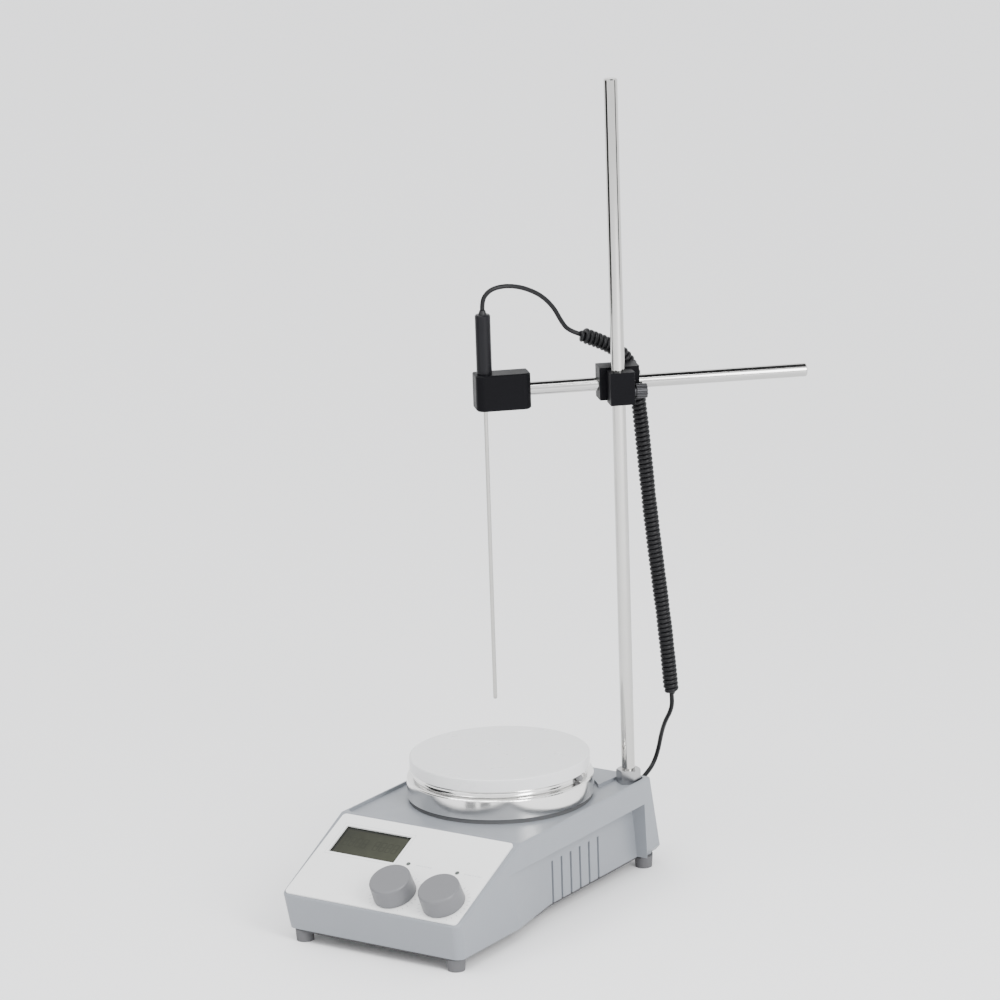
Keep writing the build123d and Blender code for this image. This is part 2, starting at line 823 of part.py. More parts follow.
with BuildPart() as plate_gasket:
    post(0, 0, deck_z, ring_r - gasket_inset, gasket_h)
    post(0, 0, deck_z, gasket_in_r, gasket_h, mode=Mode.SUBTRACT)

save(plate_gasket, "plate_gasket")

with BuildPart() as heater_element:
    post(0, 0, heater_z, heater_out_r, heater_h)
    post(0, 0, heater_z, heater_in_r, heater_h, mode=Mode.SUBTRACT)

save(heater_element, "heater_element")

with BuildPart() as insulation_disc:
    post(0, 0, insulation_z, insulation_r, insulation_h)
    post(0, 0, insulation_z, sensor_r + loose_gap, insulation_h, mode=Mode.SUBTRACT)

save(insulation_disc, "insulation_disc")

with BuildPart() as heat_shield:
    post(0, 0, shield_z, shield_r, shield_h)
    for x, y in standoff_spots:
        post(x, y, shield_z, m4_r + loose_gap, shield_h, mode=Mode.SUBTRACT)

save(heat_shield, "heat_shield")

with BuildPart() as plate_standoffs:
    for x, y in standoff_spots:
        post(x, y, deck_z, standoff_r, shield_z - deck_z)
        post(x, y, insulation_z, standoff_r, plate_under_z - insulation_z)
        post(x, y, deck_z, m4_r + loose_gap, plate_under_z - deck_z, mode=Mode.SUBTRACT)

save(plate_standoffs, "plate_standoffs")

with BuildPart() as plate_screws:
    for x, y in standoff_spots:
        post(x, y, deck_under_z - m4_head_h, m4_head_r, m4_head_h)
        post(x, y, deck_under_z, m4_r, plate_under_z + plate_screw_depth - deck_under_z)

save(plate_screws, "plate_screws")

with BuildPart() as plate_sensor:
    post(0, 0, insulation_z, sensor_r, plate_under_z + sensor_depth - insulation_z)

save(plate_sensor, "plate_sensor")

# ---------------------------------------------------------------- motor

motor_foot_z = motor_top_z - motor_h

with BuildPart() as motor_can:
    post(0, 0, motor_foot_z, motor_r, motor_h)
    post(0, 0, motor_foot_z + motor_end, motor_r - motor_wall, motor_h - 2 * motor_end, mode=Mode.SUBTRACT)
    post(0, 0, motor_foot_z, bearing_r, motor_h, mode=Mode.SUBTRACT)

save(motor_can, "motor_can")

with BuildPart() as motor_bearings:
    for low in (motor_foot_z, motor_top_z - motor_end):
        post(0, 0, low, bearing_r, motor_end)
        post(0, 0, low, rotor_shaft_r + running_gap, motor_end, mode=Mode.SUBTRACT)

save(motor_bearings, "motor_bearings")

with BuildPart() as motor_stator:
    stator_h = motor_h - 2 * (motor_end + stator_end_gap)
    stator_z = motor_foot_z + motor_end + stator_end_gap
    post(0, 0, stator_z, motor_r - motor_wall, stator_h)
    post(0, 0, stator_z, stator_in_r, stator_h, mode=Mode.SUBTRACT)
    with PolarLocations(stator_in_r + stator_slot_inset, stator_slots):
        with Locations((0, 0, stator_z)):
            Box(*stator_slot, stator_h, align=(Align.CENTER, Align.CENTER, Align.MIN), mode=Mode.SUBTRACT)

save(motor_stator, "motor_stator")

with BuildPart() as motor_rotor:
    rotor_foot_z = motor_foot_z + rotor_foot_gap
    post(0, 0, rotor_foot_z, rotor_shaft_r, carrier_z + carrier_t - rotor_foot_z)
    rotor_inset = motor_end + rotor_end_gap
    post(0, 0, motor_foot_z + rotor_inset, rotor_core_r, motor_h - 2 * rotor_inset)

save(motor_rotor, "motor_rotor")

with BuildPart() as motor_bracket:
    with BuildSketch(Plane.XY.offset(motor_top_z)):
        RectangleRounded(bracket_w, bracket_d, corner_r)
        Circle(bearing_r + bracket_hole_gap, mode=Mode.SUBTRACT)
        with Locations(*bracket_spots):
            Circle(m3_r + loose_gap, mode=Mode.SUBTRACT)
        with Locations((-motor_screw_x, 0), (motor_screw_x, 0)):
            Circle(m3_r + loose_gap, mode=Mode.SUBTRACT)
    extrude(amount=bracket_t)

save(motor_bracket, "motor_bracket")

with BuildPart() as magnet_carrier:
    with BuildSketch(Plane.XY.offset(carrier_z)):
        SlotOverall(carrier_len, carrier_w)
    extrude(amount=carrier_t)
    post(0, 0, carrier_z - carrier_hub_h, carrier_hub_r, carrier_hub_h + carrier_t)
    post(0, 0, carrier_z - carrier_hub_h, rotor_shaft_r, carrier_hub_h + carrier_t, mode=Mode.SUBTRACT)
    for x in (-magnet_x, magnet_x):
        post(x, 0, magnet_z, magnet_r, magnet_h, mode=Mode.SUBTRACT)

save(magnet_carrier, "magnet_carrier")

with BuildPart() as drive_magnets:
    for x in (-magnet_x, magnet_x):
        post(x, 0, magnet_z, magnet_r, magnet_h)

save(drive_magnets, "drive_magnets")

# ---------------------------------------------------------------- main board

board_top_z = main_board_z + board_t

with BuildPart() as main_board:
    with BuildSketch(Plane.XY.offset(main_board_z)):
        with Locations((0, (main_board_front_y + main_board_rear_y) / 2)):
            Rectangle(main_board_w, main_board_rear_y - main_board_front_y)
        with Locations(*main_post_spots):
            Circle(m3_r + loose_gap, mode=Mode.SUBTRACT)
    extrude(amount=board_t)

save(main_board, "main_board")

with BuildPart() as power_transformer:
    solid_box(transformer, board_top_z)
    fillet(power_transformer.edges().filter_by(Axis.Z), transformer_edge_r)

save(power_transformer, "power_transformer")

# Relay, capacitor and the finned heat sink of the triac
with BuildPart() as board_components:
    sink_x, sink_y, sink_w, sink_d, sink_h = heat_sink
    solid_box(heat_sink, board_top_z)
    with Locations((sink_x, sink_y - sink_floor / 2, board_top_z + sink_floor)):
        with GridLocations(sink_fin_pitch, 1, sink_fins, 1):
            Box(
                sink_fin_pitch - sink_fin_t,
                sink_d - sink_floor,
                sink_h,
                align=(Align.CENTER, Align.CENTER, Align.MIN),
                mode=Mode.SUBTRACT,
            )
    solid_box(relay, board_top_z)
    post(capacitor[0], capacitor[1], board_top_z, capacitor[2], capacitor[3])

save(board_components, "board_components")

# Identical M3 screws: display board, main board, motor bracket, motor and mains inlet
with BuildPart() as m3_screws:
    with BuildSketch(panel.offset(-board_depth - board_t)):
        with Locations(*display_posts):
            Circle(m3_head_r)
    extrude(amount=-m3_head_h)
    with BuildSketch(panel.offset(-board_depth - board_t)):
        with Locations(*display_posts):
            Circle(m3_r)
    extrude(amount=board_t + m3_grip - m3_tip_gap)
    for x, y in main_post_spots:
        post(x, y, board_top_z, m3_head_r, m3_head_h)
        post(x, y, main_board_z - m3_grip + m3_tip_gap, m3_r, m3_grip + board_t)
    for x, y in bracket_spots:
        post(x, y, motor_top_z - m3_head_h, m3_head_r, m3_head_h)
        post(x, y, motor_top_z, m3_r, bracket_t + m3_grip - m3_tip_gap)
    with BuildSketch(rear.offset(inlet_flange[2])):
        with Locations((inlet_u - inlet_screw_u, inlet_v), (inlet_u + inlet_screw_u, inlet_v)):
            Circle(m3_head_r)
    extrude(amount=m3_head_h)
    with BuildSketch(rear.offset(inlet_flange[2])):
        with Locations((inlet_u - inlet_screw_u, inlet_v), (inlet_u + inlet_screw_u, inlet_v)):
            Circle(m3_r)
    extrude(amount=-inlet_flange[2] - wall - boss_root)

save(m3_screws, "m3_screws")

# ---------------------------------------------------------------- rear fittings

inlet_pin_low = -inlet_body[2] + inlet_pin_floor / 2
pin_spots = [
    (inlet_u, inlet_v + inlet_pin_row),
    (inlet_u - inlet_pin_pitch, inlet_v - inlet_pin_row),
    (inlet_u + inlet_pin_pitch, inlet_v - inlet_pin_row),
]

with BuildPart() as power_inlet:
    with BuildSketch(rear.offset(-inlet_body[2])):
        with Locations((inlet_u, inlet_v)):
            Rectangle(inlet_body[0], inlet_body[1])
    extrude(amount=inlet_body[2])
    with BuildSketch(rear):
        with Locations((inlet_u, inlet_v)):
            RectangleRounded(inlet_flange[0], inlet_flange[1], inlet_corner_r)
    extrude(amount=inlet_flange[2])
    with BuildSketch(rear.offset(inlet_flange[2] - inlet_recess[2])) as recess_face:
        with Locations((inlet_u, inlet_v)):
            Rectangle(inlet_recess[0], inlet_recess[1])
        chamfer(recess_face.vertices().group_by(Axis.Z)[-1], inlet_chamfer)
    extrude(amount=inlet_recess[2], mode=Mode.SUBTRACT)
    with BuildSketch(rear.offset(inlet_flange[2])):
        with Locations((inlet_u - inlet_screw_u, inlet_v), (inlet_u + inlet_screw_u, inlet_v)):
            Circle(m3_r + loose_gap)
    extrude(amount=-inlet_flange[2], mode=Mode.SUBTRACT)
    with BuildSketch(rear.offset(inlet_pin_low)):
        with Locations(*pin_spots):
            Rectangle(inlet_pin[1], inlet_pin[0])
    extrude(amount=inlet_body[2], mode=Mode.SUBTRACT)

save(power_inlet, "power_inlet")

with BuildPart() as inlet_pins:
    with BuildSketch(rear.offset(inlet_pin_low)):
        with Locations(*pin_spots):
            Rectangle(inlet_pin[1], inlet_pin[0])
    extrude(amount=inlet_pin[2] + inlet_pin_floor)

save(inlet_pins, "inlet_pins")

with BuildPart() as switch_case:
    with BuildSketch(rear.offset(-switch_body[2])):
        with Locations((switch_u, switch_v)):
            Rectangle(switch_body[0], switch_body[1])
    extrude(amount=switch_body[2])
    with BuildSketch(rear):
        with Locations((switch_u, switch_v)):
            RectangleRounded(switch_flange[0], switch_flange[1], switch_corner_r)
    extrude(amount=switch_flange[2])
    with BuildSketch(rear.offset(switch_flange[2])):
        with Locations((switch_u, switch_v)):
            Rectangle(switch_well[0], switch_well[1])
    extrude(amount=-switch_well[2], mode=Mode.SUBTRACT)
    with Locations(rear):
        with Locations(Location((switch_u, switch_v, rocker_axle_h), (0, 90, 0))):
            Cylinder(rocker_axle_r + running_gap, rocker_axle_w + 2 * loose_gap, mode=Mode.SUBTRACT)

save(switch_case, "switch_case")

rocker_plane = Plane(
    origin=rear.from_local_coords((switch_u, switch_v, rocker_axle_h)),
    x_dir=rear.y_dir * cos(radians(rocker_tilt)) + rear.z_dir * sin(radians(rocker_tilt)),
    z_dir=rear.x_dir,
)

with BuildPart() as power_rocker:
    with BuildSketch(rocker_plane):
        with BuildLine():
            belly_x = rocker_half - rocker_side
            Polyline(
                (-rocker_half, rocker_tip_h),
                (0, rocker_dip_h),
                (rocker_half, rocker_tip_h),
                (belly_x, 0),
            )
            ThreePointArc((belly_x, 0), (0, -rocker_belly), (-belly_x, 0))
            Line((-belly_x, 0), (-rocker_half, rocker_tip_h))
        make_face()
    extrude(amount=rocker_w / 2, both=True)
    with BuildSketch(rocker_plane):
        Circle(rocker_axle_r)
    extrude(amount=rocker_axle_w / 2, both=True)

save(power_rocker, "power_rocker")

socket_plane = Plane(
    origin=rear.from_local_coords((socket_u, socket_v, 0)),
    x_dir=rear.x_dir,
    z_dir=rear.z_dir,
)

with BuildPart() as sensor_socket:
    with BuildSketch(socket_plane.offset(-socket_depth)):
        Circle(socket_body_r)
    extrude(amount=socket_depth)
    with BuildSketch(socket_plane):
        Circle(socket_flange_r)
    extrude(amount=socket_flange_t)
    with BuildSketch(socket_plane.offset(-socket_bore)):
        Circle(plug_nose_r + loose_gap)
    extrude(amount=socket_bore + socket_flange_t, mode=Mode.SUBTRACT)

save(sensor_socket, "sensor_socket")

plug_foot_h = socket_flange_t + loose_gap
plug_boot_h = plug_foot_h + plug_len
plug_tip_h = plug_boot_h + plug_boot_len

with BuildPart() as sensor_plug:
    with BuildSketch(socket_plane.offset(-plug_nose_len)):
        Circle(plug_nose_r)
    extrude(amount=plug_nose_len + plug_foot_h)
    with BuildSketch(socket_plane.offset(plug_foot_h)):
        Circle(plug_r)
    extrude(amount=plug_len)
    with BuildSketch(socket_plane.offset(plug_boot_h)):
        Circle(plug_boot_r)
    with BuildSketch(socket_plane.offset(plug_tip_h)):
        Circle(cable_r + relief_lip)
    loft()

save(sensor_plug, "sensor_plug")

# ---------------------------------------------------------------- support rod

with BuildPart() as rod_socket:
    post(rod_x, rod_y, band_z, rod_socket_r, deck_z - band_z)
    post(rod_x, rod_y, band_z, rod_r + running_gap, deck_z - band_z, mode=Mode.SUBTRACT)

save(rod_socket, "rod_socket")

with BuildPart() as support_rod:
    rod_foot_z = band_z + rod_seat_gap
    post(rod_x, rod_y, rod_foot_z, rod_r, rod_top_z - rod_foot_z)
    chamfer(support_rod.edges(), rod_chamfer)

save(support_rod, "support_rod")

with BuildPart() as rod_nut:
    with BuildSketch(Plane.XY.offset(deck_z + nut_lift)):
        with Locations((rod_x, rod_y)):
            RegularPolygon(nut_af / 2, 6, major_radius=False)
            Circle(rod_r, mode=Mode.SUBTRACT)
    extrude(amount=nut_h)

save(rod_nut, "rod_nut")


def clamp_hole(spot, length):
    """Threaded hole along spot's +Z for a clamp screw."""
    with BuildSketch(spot) as hole_mouth:
        Circle(clamp_screw_r + running_gap)
    extrude(hole_mouth.sketch, amount=length, mode=Mode.SUBTRACT)


def screw_plane(t, y, h, axis):
    """Plane at a clamp screw's tip, its Z along axis, in the arm's frame."""
    along = {"x": arm.x_dir, "y": arm.y_dir}[axis]
    return Plane(origin=arm.from_local_coords((t, y, h)), x_dir=(0, 0, 1), z_dir=along)


tip_gap = rod_r + clamp_tip_gap
rod_screw_spot = screw_plane(tip_gap, 0, -head_screw_drop, "x")
arm_screw_spot = screw_plane((head_rear[0] + head_rear[1]) / 2, arm_offset + tip_gap, 0, "y")
holder_arm_spot = screw_plane(holder_screw_t, arm_offset + tip_gap, 0, "y")
holder_probe_spot = screw_plane(probe_t, arm_offset + probe_r + clamp_tip_gap, 0, "y")
holder_back = arm_offset + holder_d / 2

with BuildPart() as boss_head:
    with BuildSketch(arm.offset(head_front_low)) as head_front_plan:
        left, right, front, back = head_front
        with Locations(((left + right) / 2, (front + back) / 2)):
            Rectangle(right - left, back - front)
        operator_side = arm.from_local_coords(((left + right) / 2, 10 * front, head_front_low))
        fillet(head_front_plan.vertices().sort_by_distance(operator_side)[:2], head_edge_r)
    extrude(amount=head_front_high - head_front_low)
    with BuildSketch(arm.offset(head_rear_low)) as head_rear_plan:
        rear_left, rear_right, rear_back = head_rear
        with Locations(((rear_left + rear_right) / 2, (back + rear_back) / 2)):
            Rectangle(rear_right - rear_left, rear_back - back)
        fillet(head_rear_plan.vertices(), head_edge_r)
    extrude(amount=head_rear_high - head_rear_low)
    with BuildSketch(arm.offset(2 * head_rear_low)):
        Circle(rod_r + running_gap)
    extrude(amount=-4 * head_rear_low, mode=Mode.SUBTRACT)
    with BuildSketch(Plane(origin=arm.from_local_coords((0, arm_offset, 0)), z_dir=arm.x_dir)):
        Circle(rod_r + running_gap)
    extrude(amount=2 * head_rear[1], both=True, mode=Mode.SUBTRACT)
    clamp_hole(rod_screw_spot, head_front[1])
    clamp_hole(arm_screw_spot, head_rear[2])

save(boss_head, "boss_head")

with BuildPart() as cross_rod:
    with BuildSketch(Plane(origin=arm.from_local_coords((arm_left, arm_offset, 0)), z_dir=arm.x_dir)):
        Circle(rod_r)
    extrude(amount=arm_right - arm_left)
    chamfer(cross_rod.edges().filter_by(GeomType.CIRCLE), rod_chamfer)

save(cross_rod, "cross_rod")

with BuildPart() as holder_block:
    with BuildSketch(arm.offset(-holder_h / 2)) as holder_plan:
        with Locations(((holder_left + holder_right) / 2, arm_offset)):
            Rectangle(holder_right - holder_left, holder_d)
        far_end = arm.from_local_coords((2 * holder_left, arm_offset, -holder_h / 2))
        near_end = arm.from_local_coords((-2 * holder_left, arm_offset, -holder_h / 2))
        fillet(holder_plan.vertices().sort_by_distance(far_end)[:2], holder_round)
        fillet(holder_plan.vertices().sort_by_distance(near_end)[:2], holder_near_r)
    extrude(amount=holder_h)
    chamfer(holder_block.faces().sort_by(Axis.Z)[-1].edges(), holder_chamfer)
    chamfer(holder_block.faces().sort_by(Axis.Z)[0].edges(), holder_chamfer)
    with BuildSketch(arm.offset(-holder_h)):
        with Locations((probe_t, arm_offset)):
            Circle(probe_r + running_gap)
    extrude(amount=2 * holder_h, mode=Mode.SUBTRACT)
    rod_end = arm.from_local_coords((arm_left - holder_end_gap, arm_offset, 0))
    with BuildSketch(Plane(origin=rod_end, z_dir=arm.x_dir)):
        Circle(rod_r + running_gap)
    extrude(amount=holder_right - holder_left, mode=Mode.SUBTRACT)
    clamp_hole(holder_arm_spot, holder_d)
    clamp_hole(holder_probe_spot, holder_d)

save(holder_block, "holder_block")

clamp_screws = {
    "boss_rod_screw": (rod_screw_spot, head_front[1] - tip_gap),
    "boss_arm_screw": (arm_screw_spot, head_rear[2] - arm_offset - tip_gap),
    "holder_arm_screw": (holder_arm_spot, holder_back - arm_offset - tip_gap),
    "holder_probe_screw": (holder_probe_spot, holder_back - arm_offset - probe_r - clamp_tip_gap),
}

for screw_name, (spot, depth) in clamp_screws.items():
    neck_low = depth + loose_gap
    head_low = neck_low + clamp_neck_h
    with BuildPart() as clamp_screw:
        with BuildSketch(spot):
            Circle(clamp_screw_r)
        extrude(amount=head_low)
        with BuildSketch(spot.offset(neck_low)):
            Circle(clamp_neck_r)
        extrude(amount=clamp_neck_h)
        with BuildSketch(spot.offset(head_low)):
            Circle(clamp_head_r)
            with PolarLocations(clamp_head_r, clamp_flutes):
                Circle(flute_r, mode=Mode.SUBTRACT)
        extrude(amount=clamp_head_h)
    save(clamp_screw, screw_name)

# ---------------------------------------------------------------- probe

probe_plane = Plane(origin=arm.from_local_coords((probe_t, arm_offset, 0)), z_dir=(0, 0, 1))

with BuildPart() as probe_handle:
    with BuildSketch(probe_plane.offset(probe_foot_h)):
        Circle(probe_r)
    extrude(amount=probe_top_h - probe_foot_h)
    chamfer(probe_handle.edges().group_by(Axis.Z)[-1], probe_chamfer)
    with BuildSketch(probe_plane.offset(probe_foot_h)):
        Circle(stem_r)
    extrude(amount=stem_seat, mode=Mode.SUBTRACT)

save(probe_handle, "probe_handle")

with BuildPart() as probe_stem:
    with BuildSketch(probe_plane.offset(stem_tip_z - arm_z)):
        Circle(stem_r)
    extrude(amount=arm_z + probe_foot_h + stem_seat - stem_tip_z)
    fillet(probe_stem.edges().group_by(Axis.Z)[0], stem_tip_r)

save(probe_stem, "probe_stem")

with BuildPart() as probe_relief:
    with BuildSketch(probe_plane.offset(probe_top_h)):
        Circle(cable_r + probe_relief_lip)
    with BuildSketch(probe_plane.offset(probe_top_h + probe_relief_h)):
        Circle(cable_r + relief_lip)
    loft()

save(probe_relief, "probe_relief")

# ---------------------------------------------------------------- probe lead

# From the top of the handle, over and down to the first turn of the coil
upper_route = [
    (-13.22, 16.75, 439.3),
    (-13.22, 16.75, 445.8),
    (-10.85, 19.2, 451.8),
    (-6.6, 24.1, 455.3),
    (0.0, 32.9, 455.9),
    (7.1, 43.4, 452.8),
    (14.4, 54.4, 445.8),
    (19.3, 62.8, 435.7),
    (21.9, 68.4, 424.4),
    (24.6, 73.4, 416.8),
    (30.2, 79.2, 413.6),
]
# The coil hangs over the clamp, behind the rod, and down towards the rear socket
coil_route = [
    (30.2, 79.2, 413.6),
    (41.2, 90.6, 407.3),
    (52.8, 103.3, 396.6),
    (59.0, 109.6, 379.5),
    (61.6, 111.4, 352.0),
    (63.2, 113.6, 318.0),
    (65.4, 117.2, 268.0),
    (68.4, 122.2, 216.0),
    (70.6, 127.4, 168.0),
    (71.4, 131.2, 127.0),
]
# Below the coil the lead swings out and back into its plug
lower_route = [
    (71.4, 131.2, 127.0),
    (71.55, 131.9, 119.5),
    (68.2, 133.6, 111.6),
    (62.4, 136.4, 103.6),
    (57.2, 140.4, 95.4),
    (52.6, 144.4, 86.6),
    (49.0, 147.2, 77.4),
    (46.2, 147.0, 68.4),
    (44.6, 143.2, 61.9),
]

plug_tail = socket_plane.from_local_coords((0, 0, plug_tip_h))
plug_lead = socket_plane.from_local_coords((0, 0, plug_tip_h + plug_lead_run))
lower_route += [tuple(plug_lead), tuple(plug_tail)]

for cord_name, points, radius in (
    ("cord_upper", upper_route, cable_r),
    ("cord_coil", coil_route, coil_r),
    ("cord_lower", lower_route, cable_r),
):
    corner_radii = route_radii(points)
    with BuildPart() as cord:
        with BuildLine() as cord_line:
            FilletPolyline(*points, radius=corner_radii)
        with BuildSketch(Plane(origin=cord_line.line @ 0, z_dir=cord_line.line % 0)):
            Circle(radius)
        sweep()
    report_tube(cord_name, cord, cord_line, radius, corner_radii)
    save(cord, cord_name)
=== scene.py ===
import logging
import math
from dataclasses import dataclass
from enum import Enum
from functools import lru_cache
from typing import Iterable, Protocol, Sequence

import bpy
import numpy as np
from mathutils import Matrix, Vector


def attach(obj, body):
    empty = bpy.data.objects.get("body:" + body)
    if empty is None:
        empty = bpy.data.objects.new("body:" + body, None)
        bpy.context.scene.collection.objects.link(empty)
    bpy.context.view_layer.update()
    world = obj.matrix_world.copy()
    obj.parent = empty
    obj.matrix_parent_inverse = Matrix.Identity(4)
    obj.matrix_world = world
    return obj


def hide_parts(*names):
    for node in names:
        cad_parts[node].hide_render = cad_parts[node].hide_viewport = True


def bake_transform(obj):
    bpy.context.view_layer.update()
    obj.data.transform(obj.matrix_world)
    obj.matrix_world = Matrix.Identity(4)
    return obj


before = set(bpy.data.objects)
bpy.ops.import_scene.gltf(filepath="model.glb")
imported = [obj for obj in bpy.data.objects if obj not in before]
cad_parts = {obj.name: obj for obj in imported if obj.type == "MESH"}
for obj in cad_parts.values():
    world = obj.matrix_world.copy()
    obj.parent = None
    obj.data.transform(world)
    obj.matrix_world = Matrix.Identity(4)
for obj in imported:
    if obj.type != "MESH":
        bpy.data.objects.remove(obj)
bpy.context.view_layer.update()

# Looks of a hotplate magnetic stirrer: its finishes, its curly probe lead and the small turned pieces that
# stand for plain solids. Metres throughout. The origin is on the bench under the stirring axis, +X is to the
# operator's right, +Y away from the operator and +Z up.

LOG = logging.getLogger("stirrer")
MM = 0.001
ARM_DIRECTION = (0.731354, 0.681998)
PANEL_SLOPE = math.radians(25.437)
PANEL_FOOT = (-0.176, 0.037)

# Clouds of noise to the metre, for slow changes of tone, wear and smears.
TONE_CLOUDS = 26.0
WEAR_CLOUDS = 70.0
SMEAR_CLOUDS = 38.0

Colour = tuple[float, float, float]
Point = tuple[float, float, float]


# ---------------- shader maths


class Value:
    """A number that varies over a surface: arithmetic on it adds Math nodes."""

    def __init__(self, paint: "Paint", socket: bpy.types.NodeSocket) -> None:
        """Wrap an output socket.

        Args:
            paint: the material's node tree.
            socket: the output that carries the number.
        """
        self.paint = paint
        self.socket = socket

    def _math(self, operation: str, *others: "float | Value", flipped: bool = False) -> "Value":
        """Add one Math node.

        Args:
            operation: the node's operation.
            others: the other operands.
            flipped: whether this value comes second.

        Returns:
            The node's result.
        """
        operands = [self, *others]
        if flipped:
            operands.reverse()
        return self.paint.node("ShaderNodeMath", {"operation": operation}, dict(enumerate(operands)))

    def __add__(self, other: "float | Value") -> "Value":
        """Sum."""
        return self._math("ADD", other)

    def __sub__(self, other: "float | Value") -> "Value":
        """Difference."""
        return self._math("SUBTRACT", other)

    def __rsub__(self, other: float) -> "Value":
        """Difference with the number first."""
        return self._math("SUBTRACT", other, flipped=True)

    def __mul__(self, other: "float | Value") -> "Value":
        """Product."""
        return self._math("MULTIPLY", other)

    def __truediv__(self, other: "float | Value") -> "Value":
        """Quotient."""
        return self._math("DIVIDE", other)

    def __abs__(self) -> "Value":
        """Size without its sign."""
        return self._math("ABSOLUTE")

    def __mod__(self, other: float) -> "Value":
        """Remainder that is never negative, so that a pattern repeats through zero."""
        return self._math("FLOORED_MODULO", other)

    def below(self, limit: float, soft: float) -> "Value":
        """1 where the value is under limit and 0 over it, over an edge of width soft."""
        return self.paint.clamp((limit - self) / soft + 0.5)

    def hypot(self, other: "Value") -> "Value":
        """Length of the vector (self, other)."""
        return (self * self + other * other)._math("SQRT")

    def angle(self, other: "Value") -> "Value":
        """Angle of the vector (other, self), in radians."""
        return self._math("ARCTAN2", other)


class Paint:
    """The node tree of one material, around its Principled BSDF."""

    def __init__(self, name: str) -> None:
        """Start an empty material.

        Args:
            name: the material's name.
        """
        self.material = bpy.data.materials.new(name)
        self.material.use_nodes = True
        self.tree = self.material.node_tree
        self.shader = next(n for n in self.tree.nodes if n.type == "BSDF_PRINCIPLED")

    def node(self, kind: str, settings: dict, sockets: dict, output: int | str = 0) -> Value:
        """Add a node.

        Args:
            kind: the node's type.
            settings: its own settings, set first.
            sockets: values or links, by input name or number.
            output: which output to return.

        Returns:
            The chosen output.
        """
        added = self.tree.nodes.new(kind)
        for key, value in settings.items():
            setattr(added, key, value)
        for key, value in sockets.items():
            self.feed(added.inputs[key], value)
        return Value(self, added.outputs[output])

    def feed(self, socket: bpy.types.NodeSocket, value: "float | Sequence[float] | Value") -> None:
        """Set or link one input socket."""
        if isinstance(value, Value):
            self.tree.links.new(value.socket, socket)
        else:
            socket.default_value = value

    def clamp(self, value: Value) -> Value:
        """Value kept between 0 and 1."""
        return self.node("ShaderNodeClamp", {}, {"Value": value})

    def place(self) -> Value:
        """Position on the object, in metres."""
        return self.node("ShaderNodeTexCoord", {}, {}, "Object")

    def axes(self) -> tuple[Value, Value, Value]:
        """The x, y and z of the position on the object."""
        split = self.node("ShaderNodeSeparateXYZ", {}, {"Vector": self.place()})
        outputs = split.socket.node.outputs
        return Value(self, outputs["X"]), Value(self, outputs["Y"]), Value(self, outputs["Z"])

    def vector(self, x: "float | Value", y: "float | Value", z: "float | Value") -> Value:
        """Vector of three values."""
        return self.node("ShaderNodeCombineXYZ", {}, {"X": x, "Y": y, "Z": z})

    def noise(self, scale: float, detail: float = 3.0, where: Value | None = None) -> Value:
        """Cloudy pattern, 0 to 1, with scale clouds to the metre."""
        place = where or self.place()
        sockets = {"Vector": place, "Scale": scale, "Detail": detail, "Roughness": 0.55}
        return self.node("ShaderNodeTexNoise", {}, sockets, "Fac")

    def blend(self, mask: "float | Value", low: "Colour | Value", high: "Colour | Value") -> Value:
        """Colour that goes from low to high as mask goes from 0 to 1."""
        sockets = {0: mask}
        for index, colour in ((6, low), (7, high)):
            sockets[index] = colour if isinstance(colour, Value) else (*colour, 1.0)
        return self.node("ShaderNodeMix", {"data_type": "RGBA"}, sockets, 2)

    def up_panel(self) -> Value:
        """Distance up the sloping control face from its front edge: y' cos slope + z' sin slope."""
        _, y, z = self.axes()
        return (y - PANEL_FOOT[0]) * math.cos(PANEL_SLOPE) + (z - PANEL_FOOT[1]) * math.sin(PANEL_SLOPE)

    def bump(self, height: Value, depth: float) -> None:
        """Raise the surface by height, where 1 is depth metres."""
        sockets = {"Height": height, "Strength": 1.0, "Distance": depth}
        self.feed(self.shader.inputs["Normal"], self.node("ShaderNodeBump", {}, sockets))

    def set(self, **sockets: "float | Sequence[float] | Value") -> None:
        """Set the shader's sockets, named with underscores for spaces."""
        for key, value in sockets.items():
            self.feed(self.shader.inputs[key.replace("_", " ")], value)


def shade(colour: Colour, factor: float) -> Colour:
    """Colour made lighter or darker by a factor, kept in range."""
    return tuple(min(1.0, max(0.0, channel * factor)) for channel in colour)


# ---------------- finishes


class Finish(Protocol):
    """What every finish offers."""

    def material(self) -> bpy.types.Material:
        """Build the material."""


